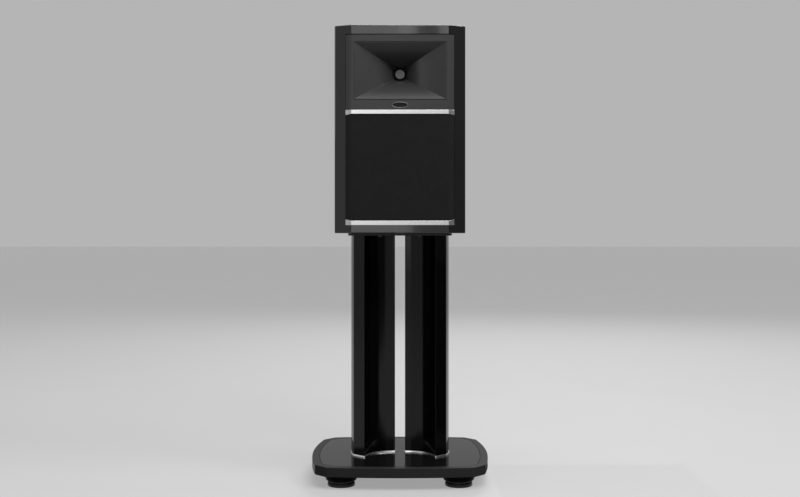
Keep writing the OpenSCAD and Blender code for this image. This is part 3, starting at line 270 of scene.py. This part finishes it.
finishes = {
    "cabinet": lacquer("cabinet_lacquer", 0.007, 0.011, 0.06, 0.4),
    "column": lacquer("column_gloss_paint", 0.001, 0.002, 0.12, 0.0, 1.35),
    "inlay": lacquer("inlay_gloss", 0.004, 0.007, 0.1, 0.0, 1.155),
    "rim": lacquer("base_satin_paint", 0.024, 0.031, 0.26, 0.0, 1.08),
    "plate": moulded("plate_satin_paint", 0.003, 0.006, 0.5),
    "horn": moulded("horn_fine_matte", 0.036, 0.044, 0.33, bend=1.36),
    "plug": moulded("plug_satin", 0.1, 0.13, 0.35),
    "plaque": moulded("plaque_black", 0.002, 0.004, 0.5, bend=1.28),
    "plaqueRim": turned("plaque_rim_nickel", 0.22, (1, 0.98, 0.96), 0.3),
    "bar": brushed("bar_satin_aluminium", 0.69, (1, 0.97, 0.975), 0.26),
    "trim": turned("trim_polished_metal", 0.97, (1, 0.99, 0.98), 0.28),
    "cloth": woven("grille_cloth_weave", 0.0012, 0.001, 0.0135, bend=1.28),
    "grilleFrame": moulded("grille_frame_matte", 0.012, 0.018, 0.5),
    "board": moulded("baffle_matte_paint", 0.008, 0.012, 0.6),
    "rear": moulded("rear_textured_vinyl", 0.012, 0.02, 0.5, 0.00025, 420),
    "bare": fibreboard("bare_fibreboard"),
    "felt": felt("damping_felt"),
    "basket": moulded("basket_powder_coat", 0.014, 0.022, 0.45, 0.0001, 800),
    "rubber": rubber("black_rubber"),
    "cone": coned("cone_fibre"),
    "spider": woven("spider_cloth", 0.0015, 0.3, 0.6, 0.0003, (1, 0.72, 0.35)),
    "coil": wound("coil_copper_wire", 0.75, (1, 0.55, 0.32), 0.0006),
    "inductor": wound("inductor_copper_wire", 0.7, (1, 0.5, 0.28), 0.0014),
    "zinc": turned("zinc_plated_steel", 0.62, (0.98, 1, 1.02), 0.3),
    "oxide": turned("black_oxide_steel", 0.09, (1, 1, 1), 0.4),
    "ferrite": moulded("sintered_ferrite", 0.035, 0.05, 0.6, 0.0001, 500, (1, 1, 1.05)),
    "nickel": turned("nickel_plate", 0.7, (1, 0.97, 0.92), 0.2),
    "brass": turned("turned_brass", 0.75, (1, 0.78, 0.42), 0.25),
    "gold": turned("gold_plate", 0.9, (1, 0.76, 0.36), 0.16),
    "driver": moulded("driver_black_anodised", 0.014, 0.02, 0.35),
    "film": moulded("diaphragm_film", 0.03, 0.045, 0.3, 0.00001, 200),
    "port": moulded("port_fine_texture", 0.01, 0.016, 0.5),
    "terminal": brushed("terminal_black_anodised", 0.1, (1, 1, 1.03), 0.35),
    "knobBlack": lacquer("knob_black", 0.012, 0.018, 0.2),
    "knobRed": lacquer("knob_red", 0.3, 0.36, 0.2, tint=(1, 0.05, 0.05)),
    "circuit": circuit("circuit_board_mask"),
    "jacket": moulded("wire_jacket_red", 0.3, 0.4, 0.45, 0.00004, 600, (1, 0.06, 0.05)),
    "footBlack": lacquer("foot_black_anodised", 0.001, 0.002, 0.2, 0.0, 1.1),
    "footRing": lacquer("foot_ring_gloss", 0.003, 0.006, 0.16, 0.0, 1.38),
}
print("finishes:", len(finishes))


# outlines and solids

def arc(centre, radius, start, end, steps):
    spread = [start + (end - start) * i / steps for i in range(steps + 1)]
    return [Vector((centre[0] + radius * cos(a), centre[1] + radius * sin(a))) for a in spread]


def rounded(points, radius, steps=5):
    # each corner becomes an arc; radius is one value or one for each corner
    loop = []
    for i, here in enumerate(points):
        r = radius[i] if isinstance(radius, (list, tuple)) else radius
        if not r:
            loop.append(here)
            continue
        a, b = points[i - 1] - here, points[(i + 1) % len(points)] - here
        half = a.angle(b) / 2
        room = 0.49 * min(a.length, b.length)    # neighbouring bends don't meet
        reach = min(r / tan(half), room)
        centre = here + (a.normalized() + b.normalized()).normalized() * reach / cos(half)
        first, last = here + a.normalized() * reach - centre, here + b.normalized() * reach - centre
        start = atan2(first.y, first.x)
        turn = (atan2(last.y, last.x) - start + pi) % (2 * pi) - pi
        loop += arc(centre, first.length, start, start + turn, steps)
    return loop


def inset(loop, depth):
    # moves a counter-clockwise loop inwards
    moved = []
    for before, here, after in zip(loop[-1:] + loop[:-1], loop, loop[1:] + loop[:1]):
        e, f = (here - before).normalized(), (after - here).normalized()
        moved.append(here + Vector((-(e.y + f.y), e.x + f.x)) * depth / (1 + e.dot(f)))
    return moved


def loft(mesh, rings, closeStart=True, closeEnd=True):
    # joins rings of equally many points into a skin
    made = [[mesh.verts.new(p) for p in ring] for ring in rings]
    for a, b in zip(made, made[1:]):
        for i in range(len(a)):
            j = (i + 1) % len(a)
            mesh.faces.new((a[i], a[j], b[j], b[i]))
    if closeStart:
        mesh.faces.new(made[0][::-1])
    if closeEnd:
        mesh.faces.new(made[-1])


def prism(mesh, loop, low, high, edge=0.0, steps=4):
    # a loop drawn in plan, from one height to another, its rims rounded
    if not edge:
        return loft(mesh, [[(p.x, p.y, z) for p in loop] for z in (low, high)])
    turns = [pi / 2 * k / steps for k in range(steps + 1)]
    shrunk = [(edge * (1 - cos(t)), inset(loop, edge * (1 - sin(t)))) for t in turns]
    rings = [[(p.x, p.y, low + rise) for p in ring] for rise, ring in shrunk]
    rings += [[(p.x, p.y, high - rise) for p in ring] for rise, ring in reversed(shrunk)]
    loft(mesh, rings)


def block(mesh, low, high):
    x0, y0, z0 = low
    x1, y1, z1 = high
    prism(mesh, [Vector(p) for p in ((x0, y0), (x1, y0), (x1, y1), (x0, y1))], z0, z1)


def meshObject(name, mesh):
    bmesh.ops.remove_doubles(mesh, verts=mesh.verts, dist=tiny)
    bmesh.ops.recalc_face_normals(mesh, faces=mesh.faces)
    data = bpy.data.meshes.new(name)
    mesh.to_mesh(data)
    mesh.free()
    made = bpy.data.objects.new(name, data)
    bpy.context.scene.collection.objects.link(made)
    return made


def carve(target, *cutters):
    # takes the cutters' space out of the target, and removes them
    for cutter in cutters:
        cut = target.modifiers.new("cut", "BOOLEAN")
        cut.operation, cut.solver, cut.object = "DIFFERENCE", "EXACT", cutter
    bpy.context.view_layer.update()
    whole = target.evaluated_get(bpy.context.evaluated_depsgraph_get())
    data = bpy.data.meshes.new_from_object(whole)
    target.modifiers.clear()
    old, target.data = target.data, data
    bpy.data.meshes.remove(old)
    for cutter in cutters:
        bpy.data.objects.remove(cutter)
    return target


def shade(made, sharp=35, edge=0.0, segments=3):
    data = made.data
    for face in data.polygons:
        face.use_smooth = True
    data.set_sharp_from_angle(angle=radians(sharp))
    if edge:
        bevel = made.modifiers.new("edges", "BEVEL")
        bevel.width, bevel.segments = edge, segments
        bevel.limit_method, bevel.angle_limit = "ANGLE", radians(sharp)
        bevel.harden_normals = True
        bevel.miter_outer = "MITER_ARC"
    weighted = made.modifiers.new("normals", "WEIGHTED_NORMAL")
    weighted.keep_sharp = True
    return made


def settle(made, finish, body=root, nodes=()):
    # gives a piece its finish, its body and the nodes it stands for
    made.data.materials.clear()
    made.data.materials.append(finishes[finish])
    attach(made, body)
    if nodes:
        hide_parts(*nodes)
    return made


def dress(node, finish, edge=0.0):
    # a node whose shape is right keeps it, and gets its finish and soft edges
    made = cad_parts[node]
    made.data.materials.clear()
    made.data.materials.append(finishes[finish])
    if edge:
        weld = made.modifiers.new("weld", "WELD")
        weld.merge_threshold = tiny
        flat = made.modifiers.new("flat", "DECIMATE")
        flat.decimate_type, flat.angle_limit = "DISSOLVE", radians(0.5)
        bevel = made.modifiers.new("edges", "BEVEL")
        bevel.width, bevel.segments = edge, 2
        bevel.limit_method, bevel.angle_limit = "ANGLE", radians(35)
        bevel.harden_normals = True
    return made


# cabinet

cabinet = {
    "flatWidth": 0.238,      # flat middle of the front
    "facetDepth": 0.018,     # how far back the slanted faces run
    "sideRadius": 1.8,       # bow of the side walls
    "wall": 0.020,
    "edge": 0.0026,          # rounding of the top and bottom rims
    "frontEdge": 0.005,      # rounding where the slanted faces meet the sides
    "crease": 0.0015,        # rounding where they meet the flat middle
    "rearEdge": 0.006,
    "lip": 0.0012,           # rounding of the front opening
    "sideSteps": 24,         # points along a bowed side
    "roomSteps": 16,         # and along the wall inside it
}
shell, baffle = Place("cabinet_shell"), Place("front_baffle")
hornNode, barUp = Place("horn"), Place("trim_bar_upper")


def sideAt(y, depth=0.0):
    # half width of the cabinet at a depth
    c = cabinet
    back = y - (shell.low.y + c["facetDepth"])
    return shell.high.x - c["sideRadius"] + sqrt((c["sideRadius"] - depth) ** 2 - back ** 2)


def frontAt(x):
    # depth of the bent front at a distance from the middle
    c = cabinet
    run = shell.high.x - c["flatWidth"] / 2
    return shell.low.y + max(0.0, abs(x) - c["flatWidth"] / 2) * c["facetDepth"] / run


def cabinetPlan():
    c = cabinet
    half, front, back = c["flatWidth"] / 2, shell.low.y, shell.high.y
    steps, start = c["sideSteps"], front + c["facetDepth"]
    side = [start + (back - front - c["facetDepth"]) * k / steps for k in range(steps + 1)]
    right = [Vector((sideAt(y), y)) for y in side]
    left = [Vector((-p.x, p.y)) for p in reversed(right)]
    loop = [Vector((-half, front)), Vector((half, front)), *right, *left]
    plain = [0] * (steps - 1)
    radii = [c["crease"], c["crease"], c["frontEdge"], *plain, c["rearEdge"],
             c["rearEdge"], *plain, c["frontEdge"]]
    return rounded(loop, radii, 6)


def makeShell():
    c = cabinet
    skin = bmesh.new()
    prism(skin, cabinetPlan(), shell.low.z, shell.high.z, c["edge"], 5)
    body = meshObject("cabinet_body", skin)
    opening = bmesh.new()
    block(opening, (barUp.low.x, shell.low.y - past, baffle.low.z),
          (barUp.high.x, baffle.low.y + lap, baffle.high.z))
    room = bmesh.new()
    steps = c["roomSteps"]
    depths = [baffle.low.y + (shell.high.y + past - baffle.low.y) * k / steps
              for k in range(steps + 1)]
    right = [Vector((sideAt(y, c["wall"]), y)) for y in depths]
    left = [Vector((-p.x, p.y)) for p in reversed(right)]
    prism(room, [*right, *left], baffle.low.z, baffle.high.z)
    carve(body, meshObject("opening", opening), meshObject("room", room))
    shade(body, 35, c["lip"])
    return settle(body, "cabinet", nodes=["cabinet_shell"])


padding = {
    "thick": 0.0112,
    "thinnest": 0.0008,
    "rim": 0.25,         # share of its thickness that a pad keeps at its edges
    "round": 0.009,      # how softly it falls off to them
    "glue": 0.0003,      # room between the pad and the wall
    "lowHeight": 0.150,
    "highGap": 0.015,    # above the brace
    "lumps": 0.0012,     # height of the unevenness
    "lumpScale": 34,
    "grid": (34, 30),    # rows and columns of points
}


def makePad(name, side, lowZ, highZ):
    # a felted pad glued to the inside of a bowed wall, full in the middle and soft at its rims
    d, node = padding, Place("damping_pads")
    rows, columns = d["grid"]
    skin = bmesh.new()
    back, front = [], []
    for i in range(columns + 1):
        y = node.low.y + node.size.y * i / columns
        wall = sideAt(y, cabinet["wall"]) - d["glue"]
        back.append([])
        front.append([])
        for k in range(rows + 1):
            z = lowZ + (highZ - lowZ) * k / rows
            near = min(y - node.low.y, node.high.y - y, z - lowZ, highZ - z)
            swell = sqrt(1 - (1 - min(near / d["round"], 1)) ** 2)
            where = Vector((side * 3 + y * d["lumpScale"], z * d["lumpScale"], 0.5))
            lump = d["lumps"] * (noise.noise(where) - 0.6)
            deep = max(d["thinnest"], d["thick"] * (d["rim"] + (1 - d["rim"]) * swell) + lump)
            back[i].append(skin.verts.new((side * wall, y, z)))
            front[i].append(skin.verts.new((side * (wall - deep), y, z)))
    for i in range(columns):
        for k in range(rows):
            skin.faces.new((back[i][k], back[i + 1][k], back[i + 1][k + 1], back[i][k + 1]))
            skin.faces.new((front[i][k], front[i][k + 1], front[i + 1][k + 1], front[i + 1][k]))
    for i in range(columns):
        for k in (0, rows):
            skin.faces.new((back[i][k], back[i + 1][k], front[i + 1][k], front[i][k]))
    for k in range(rows):
        for i in (0, columns):
            skin.faces.new((back[i][k], back[i][k + 1], front[i][k + 1], front[i][k]))
    return shade(meshObject(name, skin), 70)


def makePads():
    node, brace = Place("damping_pads"), Place("window_brace")
    spans = {"low": (node.low.z, node.low.z + padding["lowHeight"]),
             "high": (brace.high.z + padding["highGap"], node.high.z)}
    for level, (low, high) in spans.items():
        for hand, side in (("left", -1), ("right", 1)):
            pad = makePad("damping_pad_" + level + "_" + hand, side, low, high)
            settle(pad, "felt", nodes=["damping_pads"])


makeShell()
makePads()
dress("front_baffle", "board")
dress("rear_panel", "rear", softEdge)
dress("window_brace", "bare")
print("cabinet made")


# horn

horn = {
    "mouth": (0.230, 0.144),   # outer size of the stepped mouth
    "ledge": 0.0028,           # a groove runs round the mouth, and a thin lip inside it
    "ledgeDepth": 0.002,
    "lip": (0.0006, 0.0004),   # its width, and how far it lies behind the panel
    "panelSet": 0.0005,        # the panel lies this far behind the cabinet's front
    "rise": 0.096,             # middle of the mouth above the upper bar
    "depth": 0.085,
    "throat": 0.0145,
    "flare": 2.0,              # how late the walls open
    "corner": 0.0002,
    "cornerFade": 4,           # how soon the throat's round section turns into a rectangle
    "mouthCorner": 0.0025,
    "cornerSteps": 8,
    "rings": 30,
}
mouthZ = barUp.high.z + horn["rise"]
panelSide, panelTop = hornNode.high.x, hornNode.high.z


def hornRing(halfW, halfH, corner, y):
    steps = horn["cornerSteps"]
    ring = []
    for quarter, (sx, sz) in enumerate(((1, 1), (-1, 1), (-1, -1), (1, -1))):
        middle = (sx * (halfW - corner), sz * (halfH - corner))
        ring += arc(middle, corner, pi / 2 * quarter, pi / 2 * (quarter + 1), steps)
    return [(p.x, y, mouthZ + p.y) for p in ring]


def makeHorn():
    h = horn
    halfW, halfH = h["mouth"][0] / 2, h["mouth"][1] / 2
    front = shell.low.y + h["panelSet"]
    flat = cabinet["flatWidth"] / 2
    bottom, top = barUp.high.z, panelTop
    skin = bmesh.new()
    # the panel's flat middle, as a ring with square corners round the mouth
    outer = []
    steps = h["cornerSteps"]
    for sx, z in ((flat, top), (-flat, top), (-flat, bottom), (flat, bottom)):
        outer += [(sx, front, z)] * (steps + 1)
    rings = [outer, hornRing(halfW, halfH, h["mouthCorner"], front),
             hornRing(halfW, halfH, h["mouthCorner"], front + h["ledgeDepth"])]
    innerW, innerH = halfW - h["ledge"], halfH - h["ledge"]
    wide, behind = h["lip"]
    for y in (front + h["ledgeDepth"], front + behind):
        rings.append(hornRing(innerW + wide, innerH + wide, h["mouthCorner"], y))
    for k in range(h["rings"], -1, -1):
        t = k / h["rings"]
        corner = h["corner"] + (h["throat"] - h["corner"]) * (1 - t) ** h["cornerFade"]
        rings.append(hornRing(h["throat"] + (innerW - h["throat"]) * t ** h["flare"],
                              h["throat"] + (innerH - h["throat"]) * t ** h["flare"], corner,
                              front + behind + (h["ledgeDepth"] - behind + h["depth"]) * (1 - t)))
    rings.append(hornRing(h["throat"], h["throat"], h["throat"], hornNode.high.y))
    loft(skin, rings, False, False)
    # the slanted ends and the rims that turn back to the baffle
    back = baffle.low.y
    edgeY = frontAt(panelSide) + h["panelSet"]
    for s in (-1, 1):
        across = [(s * flat, front), (s * panelSide, edgeY), (s * panelSide, back)]
        for (x0, y0), (x1, y1) in zip(across, across[1:]):
            skin.faces.new([skin.verts.new(p) for p in (
                (x0, y0, bottom), (x1, y1, bottom), (x1, y1, top), (x0, y0, top))])
        for z in (bottom, top):
            skin.faces.new([skin.verts.new((x, y, z)) for x, y in [(s * flat, back), *across]])
    for z in (bottom, top):
        skin.faces.new([skin.verts.new(p) for p in (
            (-flat, front, z), (flat, front, z), (flat, back, z), (-flat, back, z))])
    made = meshObject("horn_moulding", skin)
    shade(made, 35, softEdge, 3)
    return settle(made, "horn", nodes=["horn"])


plaque = {
    "bevel": 0.0003,
    "top": 0.0009,       # where the rim's flat top ends
    # how far in from the edge, and how far behind the rim's top
    "field": ((0.0012, 0.0003), (0.002, 0.00025), (0.004, 0.00015)),
    "steps": 64,
}


def makePlaque():
    # a bare oval: a raised bright rim round a dark, slightly domed field
    node, steps, bevel = Place("plaque"), plaque["steps"], plaque["bevel"]
    rx, rz = node.size.x / 2, node.size.z / 2
    base, face = shell.low.y + horn["panelSet"], node.low.y
    rim, field = bmesh.new(), bmesh.new()

    def oval(grow, y):
        return [(node.middle.x + (rx - grow) * cos(a), y, node.middle.z + (rz - grow) * sin(a))
                for a in (2 * pi * i / steps for i in range(steps))]
    dome = [oval(grow, face + behind) for grow, behind in plaque["field"]]
    band = [oval(0, base), oval(0, face + bevel), oval(bevel, face), oval(plaque["top"], face)]
    loft(rim, [*band, dome[0]], False, False)
    loft(field, dome, False, True)
    ring = shade(meshObject("plaque_rim", rim), 50)
    settle(ring, "plaqueRim", nodes=["plaque"])
    inner = shade(meshObject("plaque_field", field), 50)
    settle(inner, "plaque")


makeHorn()
makePlaque()
dress("horn_screws", "oxide")
for bar in ("trim_bar_upper", "trim_bar_lower"):
    dress(bar, "bar", barEdge)
print("horn, plaque and bars made")


# grille

grille = {
    "wrap": 0.0062,      # how far the cloth turns back round the frame
    "round": 0.0011,     # radius at which it turns
    "thick": 0.0005,
    "cornerPull": 0.8,   # how far the corners of the turned border stand out
    "slack": 0.003,      # what the slanted ends add to the width that it is cut to
    "columns": 24,       # on the flat middle; a quarter as many on each slanted end
    "rows": 40,
    "barHeight": 0.010,  # height of the upper bar where it is flat
}


def makeGrille():
    # one cloth, stretched over the bent frame and turned back round its border
    g, node = grille, Place("grille_cloth")
    flat, half = cabinet["flatWidth"] / 2, node.high.x
    cut = (barUp.size.z - g["barHeight"]) * (half - flat) / (barUp.high.x - flat)
    r = g["round"]

    def heights(x, depth):
        flare = cut * max(0.0, (abs(x) - flat) / (half - flat))
        return node.low.z + flare + depth, node.high.z - flare - depth
    few = g["columns"] // 4
    ends = [flat + (half - r - flat) * k / few for k in range(1, few + 1)]
    level = [flat * (2 * k / g["columns"] - 1) for k in range(g["columns"] + 1)]
    across = [-x for x in reversed(ends)] + level + ends
    skin = bmesh.new()
    grid = []
    for x in across:
        low, high = heights(x, r)
        column = [low + (high - low) * k / g["rows"] for k in range(g["rows"] + 1)]
        grid.append([skin.verts.new((x, frontAt(x), z)) for z in column])
    for a, b in zip(grid, grid[1:]):
        for k in range(g["rows"]):
            skin.faces.new((a[k], b[k], b[k + 1], a[k + 1]))
    rim = [points[0] for points in grid] + grid[-1][1:]
    rim += [points[-1] for points in reversed(grid[:-1])] + grid[0][-2:0:-1]
    # the border turns a quarter circle outwards and back, then runs straight back
    turns = [(r * sin(t), r * (1 - cos(t))) for t in (pi / 8, pi / 4, 3 * pi / 8, pi / 2)]
    last = rim
    for reach, back in [*turns, (r, g["wrap"])]:
        ring = []
        for v in rim:
            x, y, z = v.co
            out = Vector(((x > half - 2 * r) - (x < 2 * r - half), 0, 0))
            low, high = heights(x, r)
            out.z = (z > high - tiny) - (z < low + tiny)
            if out.length > 1:
                out *= g["cornerPull"]
            ring.append(skin.verts.new((x + out.x * reach, frontAt(x) + back, z + out.z * reach)))
        for i in range(len(ring)):
            j = (i + 1) % len(ring)
            skin.faces.new((last[i], last[j], ring[j], ring[i]))
        last = ring
    made = shade(meshObject("grille_weave", skin), 60)
    solid = made.modifiers.new("thickness", "SOLIDIFY")
    solid.thickness, solid.offset = g["thick"], -1
    settle(made, "cloth", "grille", ["grille_cloth"])


makeGrille()
dress("grille_frame", "grilleFrame")
dress("grille_magnets", "nickel")
dress("baffle_magnets", "nickel")
print("grille made")


# drivers and fittings, which keep their shapes

for node, finish in {
    "woofer_basket": "basket", "woofer_gasket": "rubber", "woofer_surround": "rubber",
    "woofer_cone": "cone", "woofer_dust_cap": "cone", "woofer_spider": "spider",
    "woofer_coil": "coil", "woofer_plates": "zinc", "woofer_magnet": "ferrite",
    "woofer_screws": "oxide",
    "driver_housing": "driver", "driver_plug": "plug", "driver_diaphragm": "film",
    "driver_screws": "oxide", "port_tube": "port",
    "terminal_plate": "terminal", "terminal_screws": "oxide", "terminal_posts": "gold",
    "post_collar_left": "gold", "post_collar_right": "gold",
    "post_knob_left": "knobBlack", "post_knob_right": "knobRed",
    "crossover_board": "circuit", "crossover_parts": "inductor", "inner_wiring": "jacket",
    "base_inserts": "brass", "column_bolts": "oxide", "cabinet_bolts": "oxide",
}.items():
    dress(node, finish)
print("drivers and fittings made")


# stand

column = {
    "gap": 0.026,                     # between the two columns
    "scoop": (0.016, 0.082, 0.074),   # centre and radius of the hollow
    "edge": (0.090, 0.0795),          # where the hollow ends
    "shoulder": (0.118, 0.054),       # where the outer face starts
    "reach": 0.127,                   # how far out that face bows
    "innerEdge": 0.0015,
    "sharpEdge": 0.0012,
    "shoulderEdge": 0.0045,
    "rim": 0.0004,                    # rounding of the top and bottom
    "steps": (44, 20),                # points along the hollow and along the outer face
    # the bright trim: how far its foot stands out and its top leans back,
    # its height, its rounding and the step at its foot
    "trim": (0.0015, 0.0010, 0.0038, 0.0003, 0.0001),
}


def columnPlan(grow=0.0):
    # the right column, counter-clockwise from its inner front edge
    c = column
    x0, y0, r = c["scoop"]
    hollow, outer = c["steps"]
    inner = c["gap"] / 2
    first = atan2(sqrt(r ** 2 - (inner - x0) ** 2), inner - x0)
    last = atan2(y0 - c["edge"][1], c["edge"][0] - x0)
    front = arc((x0, -y0), r, first, last, hollow)
    sx, sy = c["shoulder"]
    rise = c["reach"] - sx
    bow = (sy ** 2 + rise ** 2) / (2 * rise)
    swing = atan2(sy, bow - rise)
    side = arc((c["reach"] - bow, 0), bow, -swing, swing, outer)
    back = [Vector((p.x, -p.y)) for p in reversed(front)]
    loop = [*front, *side, *back]
    half = [c["innerEdge"], *[0] * (hollow - 1), c["sharpEdge"], c["shoulderEdge"]]
    radii = [*half, *[0] * (outer - 1), *reversed(half)]
    loop = rounded(loop, radii, 4)
    return inset(loop, -grow) if grow else loop


def makeColumns():
    for side, s in (("left", -1), ("right", 1)):
        node = Place("column_" + side)
        loop = [Vector((s * p.x, p.y)) for p in columnPlan()]
        skin = bmesh.new()
        prism(skin, loop if s > 0 else loop[::-1], node.low.z, node.high.z, column["rim"], 2)
        made = shade(meshObject("column_body_" + side, skin), 40)
        settle(made, "column", nodes=["column_" + side])
    foot = Place("column_trims").low.z
    out, lean, high, soft, seat = column["trim"]
    skin = bmesh.new()
    for s in (-1, 1):
        rings = []
        for grow, z in ((seat, 0), (out - soft, 0), (out, soft), (out - lean + soft, high - soft),
                        (out - lean, high - 0.3 * soft), (out - lean - soft, high), (seat, high)):
            loop = [(s * p.x, p.y, foot + z) for p in columnPlan(grow)]
            rings.append(loop if s > 0 else loop[::-1])
        loft(skin, rings, False, False)
    trims = shade(meshObject("column_foot_trims", skin), 40)
    settle(trims, "trim", nodes=["column_trims"])


base = {
    "corner": (0.180, 0.1695),     # where the bowed edges meet the corner cuts
    "bow": (0.011, 0.017),         # rise of the front edge and of the side edge
    "rim": 0.019,                  # width of the satin border
    "groove": 0.0008,              # round the inlay
    "inlay": 0.004,                # its thickness
    "edge": 0.0018,
    "pocketEdge": 0.0005,
    "inlayEdge": 0.0006,
    "cornerRound": 0.012,
    "inlayRound": 0.040,
    "steps": 24,                   # points along each bowed edge
}


def basePlan(depth=0.0):
    b, node = base, Place("base_plate")
    steps = b["steps"]
    # half its length, how far out it reaches, and its rise: the front edge, then the side edge
    edges = list(zip(b["corner"], (node.high.y, node.high.x), b["bow"]))
    loop = []
    for quarter in range(4):
        half, reach, rise = edges[quarter % 2]
        bow = (half ** 2 + rise ** 2) / (2 * rise)
        swing = atan2(half, bow - rise)
        turn = Matrix.Rotation(pi / 2 * (quarter - 1), 2)
        loop += [turn @ p for p in arc((reach - bow, 0), bow, -swing, swing, steps)]
    loop = inset(loop, depth)
    if depth:
        # the points beside a corner give way to the inlay's wider bends
        spare = (1, 2, steps - 2, steps - 1)
        loop = [p for i, p in enumerate(loop) if i % (steps + 1) not in spare]
    each, bend = len(loop) // 4, b["inlayRound"] if depth else b["cornerRound"]
    return rounded(loop, [bend if i % each in (0, each - 1) else 0 for i in range(len(loop))], 8)


def makeBase():
    b, node = base, Place("base_plate")
    skin = bmesh.new()
    prism(skin, basePlan(), node.low.z, node.high.z, b["edge"], 4)
    plate = meshObject("base_rim", skin)
    pocket = bmesh.new()
    prism(pocket, basePlan(b["rim"]), node.high.z - b["inlay"], node.high.z + past)
    carve(plate, meshObject("pocket", pocket))
    shade(plate, 40, b["pocketEdge"], 2)
    settle(plate, "rim", nodes=["base_plate"])
    skin = bmesh.new()
    plan = basePlan(b["rim"] + b["groove"])
    prism(skin, plan, node.high.z - b["inlay"], node.high.z, b["inlayEdge"], 3)
    panel = shade(meshObject("base_gloss_panel", skin), 40)
    settle(panel, "inlay", nodes=["base_inlay"])


def makeFeet():
    for corner in ("fl", "fr", "rl", "rr"):
        dress("foot_bowl_" + corner, "footBlack")
        dress("foot_ring_" + corner, "footRing")
        dress("foot_screw_" + corner, "zinc")


makeColumns()
makeBase()
makeFeet()
dress("top_plate", "plate", softEdge)
print("stand made")


# floor, lamps and camera

studio = {
    "floor": 0.27,
    "floorReach": 40,       # to each side
    "floorThick": 0.05,
    "glow": 0.33,           # what makes the floor evenly pale right out to the horizon
    "bounce": 0.11,         # the floor's colour in the soft light that it throws back up
    "sky": 0.11,            # the soft light of the surroundings
    "backdrop": 0.46,       # what is seen of them, and shows in gloss
    "aim": (0, 0, 0.72),
    # name: (place, width, height, radiance)
    "lamps": {
        "front_softbox": ((-0.78, -5.2, 1.55), 1.8, 2.2, 1.16),
        "front_strip": ((0.42, -5.2, 2.2), 0.3, 0.8, 1.66),
        "front_patch": ((0.045, -5.15, 2.0), 0.11, 0.9, 0.7),
        "left_softbox": ((-3.4, -1.2, 2.1), 1.6, 2.0, 1.36),
        "top_softbox": ((0, -0.6, 4.0), 2.4, 2.4, 2.3),
        "top_front": ((1.0, -2.7, 3.4), 2.4, 1.2, 9.2),
        "right_high": ((3.4, -1.6, 3.4), 1.4, 1.4, 12.2),
        "right_strip": ((3.2, 1.6, 1.6), 0.4, 2.4, 0.8),
        "rear_softbox": ((0.9, 4.2, 3.2), 2.4, 1.6, 8.0),
    },
    # dark screens on the right, which keep the gloss black on that side: (low, high, colour)
    "screens": {
        "dark_screen": ((2.3, -3.4, 0.0), (2.32, 0.7, 1.85), 0.15),
        "low_screen": ((0.75, -0.45, 0.0), (0.76, 0.12, 0.53), 0.02),
        "floor_screen": ((0.24, -0.5, 0.0005), (0.75, 0.1, 0.001), 0.02),
    },
}


def makeStudio():
    wide = studio["floorReach"]
    staged = [("floor", (-wide, -wide, -studio["floorThick"]), (wide, wide, 0),
               studio["floor"], studio["bounce"], studio["glow"])]
    for name, (low, high, value) in studio["screens"].items():
        staged.append((name, low, high, value, value, 0.0))
    for name, low, high, value, thrown, glow in staged:
        mesh = bmesh.new()
        block(mesh, low, high)
        made = meshObject(name, mesh)
        g = Graph(name + "_paint")
        paint = g.between(g.noise(0.8, 2), tone(value * 0.985), tone(value))
        made.data.materials.append(g.surface(
            g.between(g.seen(), tone(thrown), paint), 0.7 + 0.1 * g.noise(3, 2),
            glow=g.between(g.seen(), tone(0), tone(glow))))
        # a screen shows in gloss alone, and leaves no mark on the floor
        made.visible_camera = made.visible_diffuse = made.visible_shadow = name == "floor"
    for name, (place, width, height, radiance) in studio["lamps"].items():
        lamp = bpy.data.lights.new(name, "AREA")
        lamp.shape, lamp.size, lamp.size_y = "RECTANGLE", width, height
        lamp.energy = radiance * width * height * pi
        made = bpy.data.objects.new(name, lamp)
        made.location = place
        aim = Vector(studio["aim"]) - Vector(place)
        made.rotation_euler = aim.to_track_quat("-Z", "Y").to_euler()
        made.visible_camera = False
        bpy.context.scene.collection.objects.link(made)
    g = Graph("studio", "worlds")
    sky = g.between(g.seen(), tone(studio["sky"]), tone(studio["backdrop"]))
    background = g.node("ShaderNodeBackground", None, {"Color": sky})
    bpy.context.scene.world = g.end("ShaderNodeOutputWorld", background)


view = {
    "place": (0, -2.9605, 0.631),
    "lens": 51.2,
    "sensor": 36,
    "shift": -0.0231,       # share of the sensor's width; keeps upright lines parallel
}


def makeCamera():
    lens = bpy.data.cameras.new("camera")
    lens.lens, lens.sensor_width, lens.shift_y = view["lens"], view["sensor"], view["shift"]
    camera = bpy.data.objects.new("camera", lens)
    camera.location = view["place"]
    camera.rotation_euler = (pi / 2, 0, 0)
    bpy.context.scene.collection.objects.link(camera)
    bpy.context.scene.camera = camera


makeStudio()
makeCamera()
bpy.context.scene.view_settings.view_transform = "Standard"
print("studio made")
